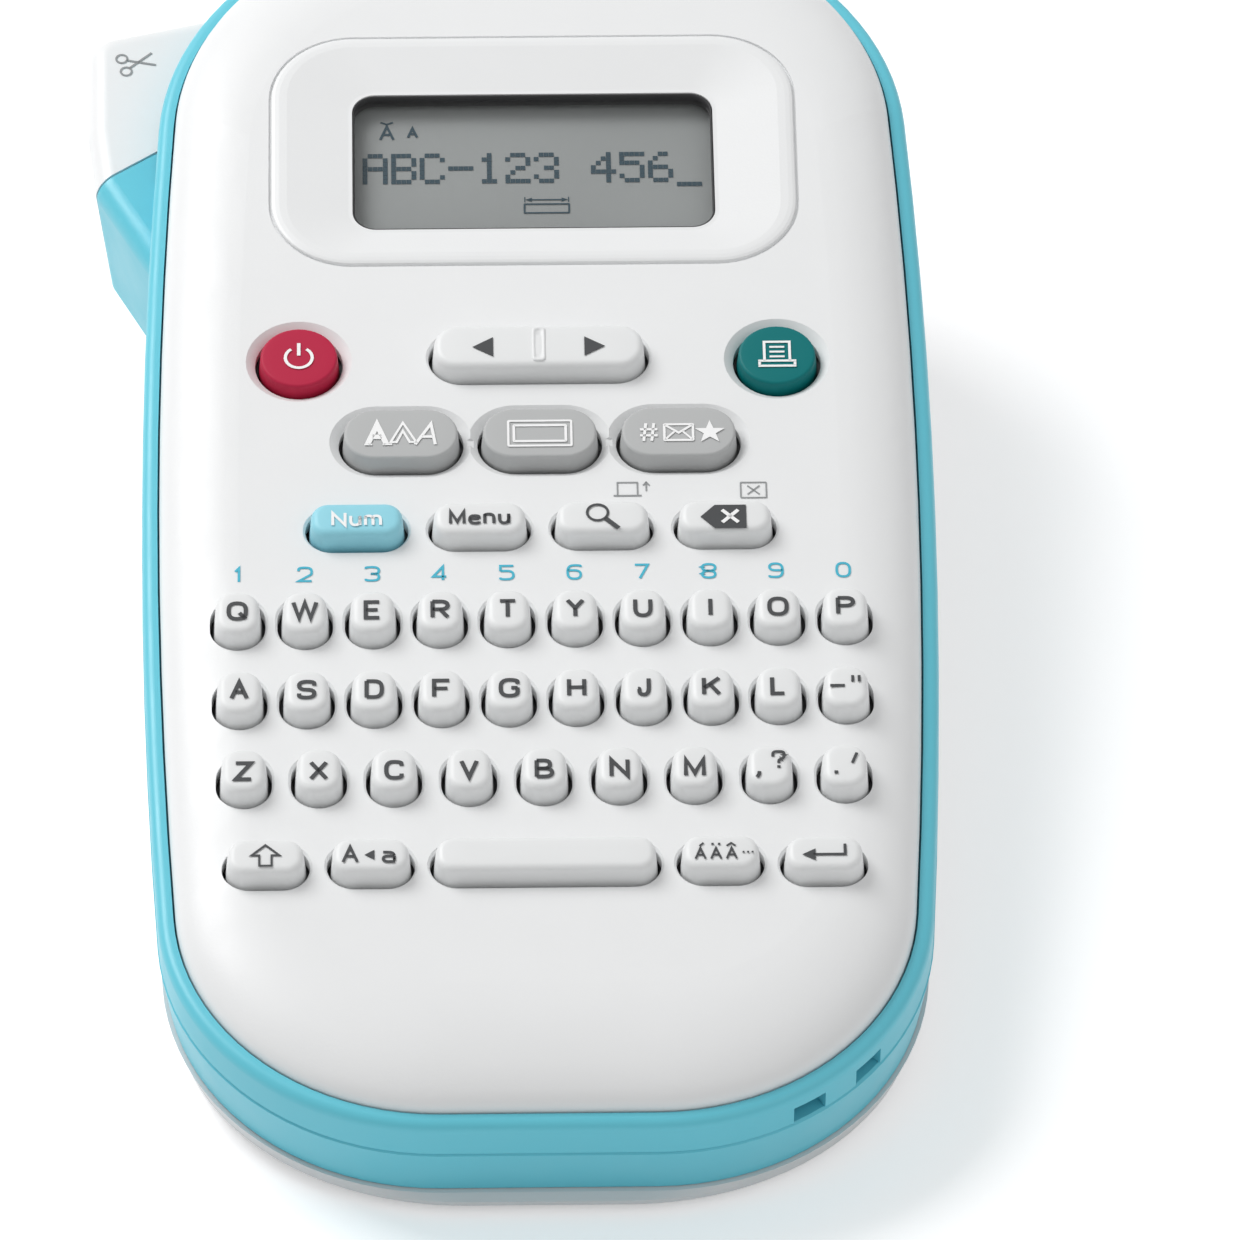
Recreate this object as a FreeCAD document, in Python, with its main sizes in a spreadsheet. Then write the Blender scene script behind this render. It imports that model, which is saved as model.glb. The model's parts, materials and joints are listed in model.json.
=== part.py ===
"""Handheld label maker, modelled as a parametric FreeCAD document.

The machine lies on its back on a table. Its casing is a wedge: the keyboard face slopes up towards
the display end. Row frame: X to the right, Y towards the display end, Z up, origin on the table
under the middle of the casing, millimetres.

Most pieces are drawn in the face frame, which is the row frame turned by face_tilt about X and
lifted by face_lift: u to the right, v along the face towards the display, w out of the face. Its
w = 0 is the parting plane of the two blue casing halves.
"""
import FreeCAD, Part

import math
import os

import Sketcher
from FreeCAD import Placement, Rotation, Vector

os.makedirs("parts", exist_ok=True)
doc = FreeCAD.newDocument("label_maker")

# ---------------------------------------------------------------- driving dimensions

DIMENSIONS = {
    # casing outline in the face frame
    "face_tilt": 10.0,
    "face_lift": 28.3,
    "half_width": 49.9,
    "half_length": 100.5,
    "side_bow": 1050.0,
    "bow_middle": 3.0,
    "low_corner": 34.4,
    "top_corner": 40.0,
    # front cover
    "cover_inset": 2.3,
    "cover_foot": 3.35,
    "seam_level": 5.3,
    "face_level": 10.5,
    "cover_wall": 2.0,
    "side_roll": 10.0,
    "end_roll": 16.0,
    # upper case ring
    "rim_inset": 2.05,
    "ledge_level": 3.3,
    "ring_inset": 4.0,
    "rim_round": 1.3,
    "slot_width": 4.6,
    "slot_height": 2.9,
    "slot_sill": -0.05,
    # lower case
    "band_depth": 8.0,
    "band_draft": 1.0,
    "band_wall": 2.3,
    "deck_top": -1.8,
    "deck_under": -3.3,
    # rear cover
    "rear_inset": 0.45,
    "rear_wall": 1.8,
    "rear_side_flare": 3.9,
    "rear_near_flare": 0.3,
    "rear_far_flare": 7.0,
    "rear_roll": 4.5,
    "rear_lift": 2.3,
    "foot_bow": 1300.0,
    "foot_round": 5.5,
    "foot_middle": -60.0,
    "grip_width": 26.0,
    "grip_height": 11.0,
    "grip_depth": 1.0,
    "grip_v": 74.0,
    # display
    "display_v": 51.8,
    "window_width": 46.3,
    "window_height": 23.2,
    "window_corner": 3.0,
    "lip_width": 1.6,
    "lip_under": 7.9,
    "lens_thick": 0.85,
    "dish_width": 63.0,
    "dish_height": 35.5,
    "dish_corner": 8.4,
    "dish_depth": 0.7,
    "frame_width": 67.0,
    "frame_height": 38.9,
    "frame_v": 53.1,
    "frame_corner": 10.4,
    "frame_rise": 0.35,
    "groove_width": 0.35,
    "groove_depth": 0.4,
    "module_width": 52.0,
    "module_height": 29.0,
    "module_top": 6.95,
    # boards
    "board_under": 3.2,
    "board_thick": 1.6,
    "board_inset": 5.2,
    "mat_gap": 0.05,
    "mat_thick": 1.0,
    "mat_boss": 0.2,
    "mat_width": 85.0,
    "mat_length": 96.0,
    "mat_v": -23.5,
    # keys
    "key_base": 7.1,
    "flange_thick": 0.7,
    "flange_edge": 0.7,
    "key_gap": 0.4,
    "key_taper": 4.0,
    "letter_width": 6.1,
    "letter_length": 7.4,
    "wide_height": 6.0,
    "function_width": 12.1,
    "corner_width": 10.0,
    "space_width": 27.5,
    "cursor_width": 27.1,
    "cursor_height": 7.8,
    "style_width": 14.9,
    "style_height": 8.7,
    "round_size": 10.3,
    "soft_top": 13.0,
    "soft_edge": 0.9,
    "crisp_top": 12.2,
    "crisp_edge": 0.45,
    "round_top": 11.4,
    "round_edge": 0.45,
    "ring_width": 1.15,
    "ring_depth": 0.9,
    "hole_flare": 0.3,
    # tape drive
    "tooth_module": 0.5,
    "tooth_play": 0.12,
    "platen_teeth": 22.0,
    "drive_teeth": 18.0,
    "gear_floor": -0.7,
    "gear_thick": 1.4,
    "platen_u": -37.9,
    "platen_v": 50.0,
    "platen_radius": 4.2,
    "platen_top": -4.2,
    "platen_length": 14.3,
    "shaft_radius": 1.0,
    "shaft_gap": 0.06,
    "drive_angle": -98.0,
    "motor_radius": 4.5,
    "motor_length": 15.0,
    "head_face": -33.3,
    "head_back": -29.9,
    "head_length": 11.0,
    # cassette and cells
    "cassette_width": 64.0,
    "cassette_length": 49.0,
    "cassette_thick": 16.0,
    "cassette_u": -2.4,
    "cassette_v": 31.7,
    "cassette_top": -4.0,
    "cell_radius": 5.2,
    "cell_nub": 1.9,
    "cell_length": 43.5,
    "cell_pitch": 10.9,
    "cell_level": -4.6,
    "cell_v": -84.7,
    # cutter
    "pivot_u": -43.2,
    "pivot_v": 61.0,
    "pivot_radius": 1.5,
    "pivot_gap": 0.06,
    "bay_top": -1.0,
    "bay_floor": -20.3,
    "bay_under": -21.5,
    "bay_round": 2.6,
    "bay_wall": 1.8,
    "base_inset": 1.3,
    # screws
    "screw_radius": 1.15,
    "boss_radius": 3.2,
}

sheet = doc.addObject("Spreadsheet::Sheet", "Sizes")
for row, (alias, value) in enumerate(DIMENSIONS.items(), 1):
    sheet.set(f"A{row}", alias)
    sheet.set(f"B{row}", str(value))
    sheet.setAlias(f"B{row}", alias)
doc.recompute()


def size(alias):
    """The number in a cell of the sheet."""
    return float(sheet.get(alias))


TILT = size("face_tilt")
SEAM = size("seam_level")
FACE = size("face_level")
BOARD_TOP = size("board_under") + size("board_thick")

# ---------------------------------------------------------------- frames


def on_face(u=0.0, v=0.0, w=0.0, turn=0.0):
    """Placement of something drawn at a point of the face frame, turned about w."""
    tilt = Placement(Vector(0, 0, size("face_lift")), Rotation(Vector(1, 0, 0), TILT))
    return tilt.multiply(Placement(Vector(u, v, w), Rotation(Vector(0, 0, 1), turn)))


# ---------------------------------------------------------------- outlines


def casing_points(side=0.0, low=0.0, top=0.0, foot=False):
    """Corner centres and tangent points of the casing outline, taken in by side, low and top.

    The foot's sides bow about a point nearer the low end, so the back narrows towards the display end, and
    its low corners are rounder.
    """
    half = size("half_width") - side
    bow = size("foot_bow" if foot else "side_bow") - side
    middle = size("foot_middle" if foot else "bow_middle")
    centre = Vector(half - bow, middle, 0)
    rounder = size("foot_round") if foot else 0
    found = {"half": half, "bow": bow, "side_centre": centre, "middle": middle}
    for end, sign, inset, radius in (
        ("low", -1, low, size("low_corner") + rounder - side),
        ("top", 1, top, size("top_corner") - side),
    ):
        edge = sign * (size("half_length") - inset)
        v = edge - sign * radius
        u = centre.x + math.sqrt((bow - radius) ** 2 - (v - middle) ** 2)
        corner = Vector(u, v, 0)
        out = (corner - centre).normalize()
        found[end] = {"edge": edge, "radius": radius, "corner": corner, "tangent": centre + out * bow}
    return found


def casing_wire(side=0.0, low=None, top=None, level=0.0, foot=False):
    """The casing outline as a wire of two ends, two bowed sides and four corner arcs."""
    low = side if low is None else low
    top = side if top is None else top
    p = casing_points(side, low, top, foot)
    right = [Vector(p["low"]["corner"].x, p["low"]["edge"], 0)]
    middle_of = []
    for end, first in (("low", True), ("top", False)):
        c = p[end]["corner"]
        end_point = Vector(c.x, p[end]["edge"], 0)
        half_way = ((end_point - c).normalize() + (p[end]["tangent"] - c).normalize()).normalize()
        middle_of.append(c + half_way * p[end]["radius"])
    right += [p["low"]["tangent"], p["top"]["tangent"], Vector(p["top"]["corner"].x, p["top"]["edge"], 0)]
    middle_of.insert(1, Vector(p["half"], p["middle"], 0))
    edges = []
    mirror = [Vector(-q.x, q.y, 0) for q in right]
    edges.append(Part.LineSegment(mirror[0], right[0]).toShape())
    for i, m in enumerate(middle_of):
        edges.append(Part.Arc(right[i], m, right[i + 1]).toShape())
    edges.append(Part.LineSegment(right[3], mirror[3]).toShape())
    for i in (2, 1, 0):
        m = Vector(-middle_of[i].x, middle_of[i].y, 0)
        edges.append(Part.Arc(mirror[i + 1], m, mirror[i]).toShape())
    wire = Part.Wire(edges)
    wire.translate(Vector(0, 0, level))
    return wire


def casing_prism(inset, floor, top):
    """The casing outline taken in by inset, as a solid between two levels."""
    return Part.Face(casing_wire(inset, level=floor)).extrude(Vector(0, 0, top - floor))


def box(u0, u1, v0, v1, w0, w1):
    """An upright box between pairs of coordinates."""
    return Part.makeBox(u1 - u0, v1 - v0, w1 - w0, Vector(u0, v0, w0))


def post(u, v, radius, w0, w1):
    """An upright cylinder between two levels."""
    return Part.makeCylinder(radius, w1 - w0, Vector(u, v, w0))


def rounded_wire(width, height, radius, v, level):
    """A rounded rectangle about (0, v)."""
    a, b = width / 2 - radius, height / 2 - radius
    k = radius * math.sqrt(0.5)
    edges = []
    corners = [(a, b), (-a, b), (-a, -b), (a, -b)]
    for i, (cu, cv) in enumerate(corners):
        turn = Rotation(Vector(0, 0, 1), 90 * i)
        rim = (Vector(radius, 0, 0), Vector(k, k, 0), Vector(0, radius, 0))
        start, mid, end = (turn.multVec(q) for q in rim)
        c = Vector(cu, v + cv, level)
        edges.append(Part.Arc(c + start, c + mid, c + end).toShape())
        nu, nv = corners[(i + 1) % 4]
        n = Vector(nu, v + nv, level)
        edges.append(Part.LineSegment(c + end, n + end).toShape())
    return Part.Wire(edges)


def slot_wire(u, v, width, height, level):
    """A slot with round ends, or a circle where width and height are equal."""
    r = min(width, height) / 2
    if abs(width - height) < 1e-6:
        return Part.Wire(Part.makeCircle(r, Vector(u, v, level)))
    along = Vector(1, 0, 0) if width > height else Vector(0, 1, 0)
    across = Vector(-along.y, along.x, 0)
    half = (max(width, height) / 2) - r
    c = Vector(u, v, level)
    a, b = c + along * half, c - along * half
    edges = [
        Part.LineSegment(b - across * r, a - across * r).toShape(),
        Part.Arc(a - across * r, a + along * r, a + across * r).toShape(),
        Part.LineSegment(a + across * r, b + across * r).toShape(),
        Part.Arc(b + across * r, b - along * r, b - across * r).toShape(),
    ]
    return Part.Wire(edges)


def prism(wire, height):
    return Part.Face(wire).extrude(Vector(0, 0, height))


# ---------------------------------------------------------------- document helpers

sub_parts = []


def keep(item, name, placement):
    """Labels an object as a sub-part and places it."""
    item.Label = name
    item.Placement = placement
    sub_parts.append(item)
    return item


def shape_part(name, shape, placement):
    """A sub-part whose shape is set with Part's own functions."""
    item = doc.addObject("Part::Feature", name)
    item.Shape = shape
    return keep(item, name, placement)


def new_sketch(body, name, level=None):
    """A sketch on the body's own XY plane, raised by an expression."""
    sketch = body.newObject("Sketcher::SketchObject", name)
    plane = [f for f in body.Origin.OriginFeatures if f.Role == "XY_Plane"][0]
    sketch.AttachmentSupport = [(plane, "")]
    sketch.MapMode = "FlatFace"
    if level is not None:
        sketch.setExpression("AttachmentOffset.Base.z", level)
    return sketch


def bind(sketch, constraint, expression):
    """Adds a named dimension and ties it to the sheet."""
    index = sketch.addConstraint(constraint)
    name = f"size{index}"
    sketch.renameConstraint(index, name)
    sketch.setExpression(f"Constraints.{name}", expression)


def slot_sketch(sketch, width, height, width_text, height_text):
    """A slot along X or Y about the origin, or a circle when height_text is None."""
    line, arc = Part.LineSegment, Part.ArcOfCircle
    if height_text is None:
        ring = sketch.addGeometry(Part.Circle(Vector(0, 0, 0), Vector(0, 0, 1), width / 2))
        sketch.addConstraint(Sketcher.Constraint("Coincident", ring, 3, -1, 1))
        bind(sketch, Sketcher.Constraint("Diameter", ring, width), width_text)
        return
    flat = width > height
    r = min(width, height) / 2
    d = max(width, height) / 2 - r
    if flat:
        ends = [(Vector(d, 0, 0), -math.pi / 2), (Vector(-d, 0, 0), math.pi / 2)]
    else:
        ends = [(Vector(0, d, 0), 0.0), (Vector(0, -d, 0), math.pi)]
    arcs = []
    for centre, start in ends:
        circle = Part.Circle(centre, Vector(0, 0, 1), r)
        arcs.append(sketch.addGeometry(arc(circle, start, start + math.pi)))
    if flat:
        low = (Vector(-d, -r, 0), Vector(d, -r, 0))
        high = (Vector(d, r, 0), Vector(-d, r, 0))
    else:
        low = (Vector(r, -d, 0), Vector(r, d, 0))
        high = (Vector(-r, d, 0), Vector(-r, -d, 0))
    first = sketch.addGeometry(line(*low))
    second = sketch.addGeometry(line(*high))
    tangent = [(first, 2, arcs[0], 1), (arcs[0], 2, second, 1)]
    tangent += [(second, 2, arcs[1], 1), (arcs[1], 2, first, 1)]
    for joint in tangent:
        sketch.addConstraint(Sketcher.Constraint("Tangent", *joint))
    axis = -1 if flat else -2
    sketch.addConstraint(Sketcher.Constraint("PointOnObject", arcs[0], 3, axis))
    sketch.addConstraint(Sketcher.Constraint("Symmetric", arcs[0], 3, arcs[1], 3, -1, 1))
    sketch.addConstraint(Sketcher.Constraint("Equal", arcs[0], arcs[1]))
    across, along = (height_text, width_text) if flat else (width_text, height_text)
    kind = "DistanceX" if flat else "DistanceY"
    bind(sketch, Sketcher.Constraint("Radius", arcs[0], r), f"({across}) / 2")
    bind(sketch, Sketcher.Constraint(kind, arcs[1], 3, arcs[0], 3, 2 * d), f"({along}) - ({across})")


def casing_sketch(sketch, inset_text, inset):
    """The casing outline, tied to the sheet and taken in all round by inset_text."""
    p = casing_points(inset, inset, inset)
    at = {}

    def arc(name, centre, radius, start, end):
        angles = [math.atan2(q.y - centre.y, q.x - centre.x) for q in (start, end)]
        circle = Part.Circle(centre, Vector(0, 0, 1), radius)
        at[name] = sketch.addGeometry(Part.ArcOfCircle(circle, *angles))

    def mirrored(q):
        return Vector(-q.x, q.y, 0)

    low, top, bow = p["low"], p["top"], p["bow"]
    low_end = Vector(low["corner"].x, low["edge"], 0)
    top_end = Vector(top["corner"].x, top["edge"], 0)
    at["low"] = sketch.addGeometry(Part.LineSegment(mirrored(low_end), low_end))
    arc("low_right", low["corner"], low["radius"], low_end, low["tangent"])
    arc("right", p["side_centre"], bow, low["tangent"], top["tangent"])
    arc("top_right", top["corner"], top["radius"], top["tangent"], top_end)
    at["top"] = sketch.addGeometry(Part.LineSegment(top_end, mirrored(top_end)))
    arc("top_left", mirrored(top["corner"]), top["radius"], mirrored(top_end), mirrored(top["tangent"]))
    arc("left", mirrored(p["side_centre"]), bow, mirrored(top["tangent"]), mirrored(low["tangent"]))
    arc("low_left", mirrored(low["corner"]), low["radius"], mirrored(low["tangent"]), mirrored(low_end))
    ring = ["low", "low_right", "right", "top_right", "top", "top_left", "left", "low_left"]
    for here, after in zip(ring, ring[1:] + ring[:1]):
        sketch.addConstraint(Sketcher.Constraint("Tangent", at[here], 2, at[after], 1))
    for end in ("low", "top"):
        sketch.addConstraint(Sketcher.Constraint("Symmetric", at[end], 1, at[end], 2, -2))
    for one, other in (("right", "left"), ("low_right", "low_left"), ("top_right", "top_left")):
        sketch.addConstraint(Sketcher.Constraint("Equal", at[one], at[other]))
    radius_cells = {"right": "side_bow", "low_right": "low_corner", "top_right": "top_corner"}
    for name, cell in radius_cells.items():
        value = size(cell) - inset
        bind(sketch, Sketcher.Constraint("Radius", at[name], value), f"Sizes.{cell} - ({inset_text})")
    ends = f"Sizes.half_length - ({inset_text})"
    bind(sketch, Sketcher.Constraint("DistanceY", at["low"], 2, -1, 1, -low["edge"]), ends)
    bind(sketch, Sketcher.Constraint("DistanceY", -1, 1, at["top"], 1, top["edge"]), ends)
    across = Sketcher.Constraint("DistanceX", at["right"], 3, -1, 1, bow - p["half"])
    bind(sketch, across, "Sizes.side_bow - Sizes.half_width")
    along = Sketcher.Constraint("DistanceY", -1, 1, at["right"], 3, p["middle"])
    bind(sketch, along, "Sizes.bow_middle")


def pad(body, name, sketch, length, taper=None):
    feature = body.newObject("PartDesign::Pad", name)
    feature.Profile = sketch
    feature.setExpression("Length", length)
    if taper is not None:
        feature.setExpression("TaperAngle", taper)
    sketch.Visibility = False
    return feature


def pocket(body, name, sketch, length, reverse=False):
    """Cuts from the sketch's plane downwards, or upwards with reverse."""
    feature = body.newObject("PartDesign::Pocket", name)
    feature.Profile = sketch
    feature.setExpression("Length", length)
    feature.Reversed = reverse
    return feature


def fillet(body, name, base, edges, radius):
    feature = body.newObject("PartDesign::Fillet", name)
    feature.Base = (base, edges)
    feature.setExpression("Radius", radius)
    return feature


def edges_at(shape, level):
    """Names of the edges that lie wholly at one height."""
    names = []
    for i, edge in enumerate(shape.Edges, 1):
        bb = edge.BoundBox
        if abs(bb.ZMin - level) < 1e-4 and abs(bb.ZMax - level) < 1e-4:
            names.append(f"Edge{i}")
    return names


# ---------------------------------------------------------------- keyboard

ROUND, CRISP, SOFT = "round", "crisp", "soft"
LETTER_ROWS = (("q w e r t y u i o p", -25.6, 8.36), ("a s d f g h j k l dash", -38.3, 8.3),
               ("z x c v b n m comma stop", -50.8, 9.2))
KEYS = [
    ("key_power", -30.0, 17.4, "round_size", None, ROUND),
    ("key_print", 30.3, 17.2, "round_size", None, ROUND),
    ("key_cursor", 0.25, 17.8, "cursor_width", "cursor_height", SOFT),
    ("key_text_style", -17.2, 3.9, "style_width", "style_height", CRISP),
    ("key_border", 0.2, 3.9, "style_width", "style_height", CRISP),
    ("key_symbols", 17.6, 3.9, "style_width", "style_height", CRISP),
    ("key_numbers", -22.8, -10.6, "function_width", "wide_height", SOFT),
    ("key_menu", -7.5, -10.6, "function_width", "wide_height", SOFT),
    ("key_preview", 7.8, -10.6, "function_width", "wide_height", SOFT),
    ("key_erase", 23.1, -10.6, "function_width", "wide_height", SOFT),
    ("key_shift", -34.1, -64.3, "corner_width", "wide_height", SOFT),
    ("key_capitals", -21.3, -64.2, "corner_width", "wide_height", SOFT),
    ("key_space", 0.0, -64.2, "space_width", "wide_height", SOFT),
    ("key_accents", 21.3, -64.2, "corner_width", "wide_height", SOFT),
    ("key_enter", 33.9, -64.5, "corner_width", "wide_height", SOFT),
]
for names, row_v, pitch in LETTER_ROWS:
    letters = names.split()
    for i, letter in enumerate(letters):
        key_u = (i - (len(letters) - 1) / 2) * pitch
        KEYS.append((f"key_{letter}", key_u, row_v, "letter_width", "letter_length", SOFT))


def key_size(width_cell, height_cell):
    return size(width_cell), size(height_cell or width_cell)


def make_key(name, u, v, width_cell, height_cell, finish):
    """A key cap: a flange that stops under the front cover, and a tapered cap with a rounded top."""
    width, height = key_size(width_cell, height_cell)
    body = doc.addObject("PartDesign::Body", name)
    width_text = f"Sizes.{width_cell}"
    height_text = f"Sizes.{height_cell}" if height_cell else None
    rim = 2 * size("flange_edge")
    flange = new_sketch(body, f"{name}_flange")
    wide = f"{width_text} + 2 * Sizes.flange_edge"
    tall = f"{height_text} + 2 * Sizes.flange_edge" if height_text else None
    slot_sketch(flange, width + rim, height + rim, wide, tall)
    pad(body, f"{name}_foot", flange, "Sizes.flange_thick")
    outline = new_sketch(body, f"{name}_outline", "Sizes.flange_thick")
    slot_sketch(outline, width, height, width_text, height_text)
    rise = f"Sizes.{finish}_top - Sizes.key_base - Sizes.flange_thick"
    cap = pad(body, f"{name}_cap", outline, rise, "-Sizes.key_taper")
    doc.recompute()
    top = size(f"{finish}_top") - size("key_base")
    fillet(body, f"{name}_edge", cap, edges_at(cap.Shape, top), f"Sizes.{finish}_edge")
    if name == "key_cursor":
        add_thumb_groove(body, top)
    keep(body, name, on_face(u, v, size("key_base")))


def add_thumb_groove(body, top):
    """The shallow upright groove between the two arrows of the cursor key."""
    line = new_sketch(body, "thumb_groove_outline", "Sizes.soft_top - Sizes.key_base - 0.35")
    slot_sketch(line, 1.2, 5.0, "1.2", "5")
    pocket(body, "thumb_groove", line, "1", reverse=True)


for key in KEYS:
    make_key(*key)
doc.recompute()

# ---------------------------------------------------------------- front cover

SECTIONS = 7


def dome(side, rise, side_roll, end_roll, floor):
    """A pillow: an upright wall to the seam level, and an elliptical roll up to a flat top."""
    wires = []
    for i in range(SECTIONS):
        angle = math.pi / 2 * i / (SECTIONS - 1)
        back = 1 - math.cos(angle)
        end = side + end_roll * back
        wires.append(casing_wire(side + side_roll * back, end, end, SEAM + rise * math.sin(angle)))
    return casing_prism(side, floor, SEAM).fuse(Part.makeLoft(wires, True, False)).removeSplitter()


def make_front_cover():
    wall, inset = size("cover_wall"), size("cover_inset")
    roll, end_roll, foot = size("side_roll"), size("end_roll"), size("cover_foot")
    outside = dome(inset, FACE - SEAM, roll, end_roll, foot)
    inside = dome(inset + wall, FACE - SEAM - wall, roll - wall, end_roll - wall, foot - 1)
    cuts = []
    gap = size("key_gap")
    for name, u, v, width_cell, height_cell, finish in KEYS:
        width, height = key_size(width_cell, height_cell)
        hole = slot_wire(u, v, width + 2 * gap, height + 2 * gap, SEAM)
        cuts.append(prism(hole, 10))
        if finish != SOFT:
            cuts.append(moat(u, v, width + 2 * gap, height + 2 * gap, size("ring_width"), size("ring_depth")))
        else:
            flare = size("hole_flare")
            cuts.append(moat(u, v, width + 2 * gap, height + 2 * gap, flare, flare))
    cuts += display_cuts() + style_channels()
    return outside.cut(inside).fuse([window_lip(), display_frame()]).cut(cuts)


def moat(u, v, width, height, ring, depth):
    """The sloping recess round a key's hole."""
    above = 0.4
    low = slot_wire(u, v, width, height, FACE - depth)
    grow = 2 * ring / depth * (depth + above)
    high = slot_wire(u, v, width + grow, height + grow, FACE + above)
    return Part.makeLoft([low, high], True, True)


def style_channels():
    """The two short channels that join the recesses of the three grey keys."""
    channels = []
    centres = [u for name, u, v, *rest in KEYS if rest[0] == "style_width"]
    v = [v for name, u, v, *rest in KEYS if rest[0] == "style_width"][0]
    for left, right in zip(centres, centres[1:]):
        channels.append(prism(slot_wire((left + right) / 2, v, 3.4, 1.3, FACE - 0.55), 2))
    return channels


def display_frame():
    """The raised lip round the display."""
    v, rise = size("frame_v"), size("frame_rise")
    wires = []
    for step, level in ((0.0, -0.6), (0.0, 0.0), (0.12, 0.45), (0.45, 0.8), (1.0, 1.0)):
        wide, tall = size("frame_width") - 2 * step, size("frame_height") - 2 * step
        height = FACE + (level * rise if level > 0 else level)
        wires.append(rounded_wire(wide, tall, size("frame_corner") - step, v, height))
    return Part.makeLoft(wires, True, True)


def display_cuts():
    """The groove round the display's raised lip, the shallow dish inside it and the window."""
    v, frame_v, top = size("display_v"), size("frame_v"), FACE + size("frame_rise")
    wide, tall, corner = size("frame_width"), size("frame_height"), size("frame_corner")
    g, deep = size("groove_width"), size("groove_depth")
    floor = FACE - deep
    outer = prism(rounded_wire(wide + 2 * g, tall + 2 * g, corner + g, frame_v, floor), 1)
    inner = prism(rounded_wire(wide, tall, corner, frame_v, floor - 0.1), 1.2)
    window = (size("window_width"), size("window_height"), size("window_corner"))
    edge = 0.5
    rim = (window[0] + 2 * edge, window[1] + 2 * edge, window[2] + edge)
    dish_size = [size(f"dish_{name}") for name in ("width", "height", "corner")]
    dish = Part.makeLoft([
        rounded_wire(*rim, v, FACE - size("dish_depth")),
        rounded_wire(*dish_size, frame_v, top),
        rounded_wire(*dish_size, frame_v, top + 0.5),
    ], True, True)
    return [outer.cut(inner), dish, prism(rounded_wire(*window, v, SEAM), 10)]


def window_lip():
    """The short frame that hangs round the window and carries the lens."""
    grow, under = size("lip_width"), size("lip_under")
    wide, tall = size("window_width") + 2 * grow, size("window_height") + 2 * grow
    lip = prism(rounded_wire(wide, tall, size("window_corner") + grow, size("display_v"), under), 1.0)
    return lip


shape_part("front_cover", make_front_cover(), on_face())

# ---------------------------------------------------------------- upper case

SCREWS = ((-41.2, -28.0), (41.2, -28.0), (40.4, 57.0), (-12.0, 91.0))
SLOT_ANGLES = (-57.6, -41.6)


def make_upper_case():
    """The blue ring round the front cover, with a ledge for it, strap slots and screw bosses."""
    body = doc.addObject("PartDesign::Body", "rim_ring")
    outline = new_sketch(body, "rim_outline")
    casing_sketch(outline, "0.1", 0.1)
    ring = pad(body, "rim_block", outline, "Sizes.seam_level")
    doc.recompute()
    fillet(body, "rim_edge", ring, edges_at(ring.Shape, SEAM), "Sizes.rim_round")
    seat = new_sketch(body, "cover_seat_outline", "Sizes.ledge_level")
    casing_sketch(seat, "Sizes.rim_inset", size("rim_inset"))
    pocket(body, "cover_seat", seat, "5", reverse=True)
    hole = new_sketch(body, "ring_hole_outline")
    casing_sketch(hole, "Sizes.ring_inset", size("ring_inset"))
    pocket(body, "ring_hole", hole, "8", reverse=True)
    doc.recompute()
    tool = doc.addObject("Part::Feature", "strap_slots")
    tool.Shape = strap_slots()
    bosses = doc.addObject("Part::Feature", "screw_bosses")
    bosses.Shape = screw_bosses()
    joined = doc.addObject("Part::Fuse", "ring_with_bosses")
    joined.Base, joined.Tool = body, bosses
    case = doc.addObject("Part::Cut", "case_with_slots")
    case.Base, case.Tool = joined, tool
    keep(case, "upper_case", on_face())


def strap_slots():
    """Two slots through the ring at its near right corner, for a hand strap."""
    centre = casing_points()["low"]["corner"]
    radius = size("low_corner")
    wide, high, sill = size("slot_width"), size("slot_height"), size("slot_sill")
    tools = []
    for angle in SLOT_ANGLES:
        tool = Part.makeBox(8, wide, high, Vector(radius - 6, -wide / 2, sill))
        tool.rotate(Vector(0, 0, 0), Vector(0, 0, 1), angle)
        tool.translate(centre)
        tools.append(tool)
    return Part.makeCompound(tools)


def screw_bosses():
    """A blind boss on a rib for each case screw."""
    r, top = size("boss_radius"), size("board_under") - 0.05
    floor = size("deck_top") + 0.05
    bore = size("screw_radius") + 0.08
    solids = []
    for u, v in SCREWS:
        side = 1 if u > 0 else -1
        edge = 47.0
        rib = box(min(u, side * edge), max(u, side * edge), v - 1, v + 1, 0.0, top)
        if v > 80:
            rib = box(u - 1, u + 1, v, 98.0, 0.0, top)
        boss = post(u, v, r, floor, top).fuse(rib)
        solids.append(boss.cut(post(u, v, bore, floor - 1, top - 0.4)))
    return Part.makeCompound(solids)


make_upper_case()
doc.recompute()

# ---------------------------------------------------------------- cutter bay, shared by case and lever

BAY_CORNERS = ((-30.0, 91.3), (-57.9, 84.2), (-57.7, 68.0), (-56.6, 58.0), (-47.0, 39.4), (-30.0, 39.4))
LEVER_PLAN = ((-62, 54.3), (-47.3, 64.6), (-47.3, 56.5), (-38, 56.5), (-38, 95), (-62, 95))
HOUSING_PLAN = ((-62, 53.9), (-48.4, 63.4), (-48.4, 55.5), (-38, 55.5), (-38, 36), (-62, 36))
SWING_PLAN = ((-62, 54.3), (-48.4, 63.4), (-48.4, 55.5), (-33, 55.5), (-31.6, 97), (-62, 97))
THROAT_WALL = -30.3


def polygon(points, level):
    corners = [Vector(u, v, level) for u, v in points]
    return Part.makePolygon(corners + corners[:1])


def upright(points, w0, w1):
    return Part.Face(polygon(points, w0)).extrude(Vector(0, 0, w1 - w0))


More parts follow.
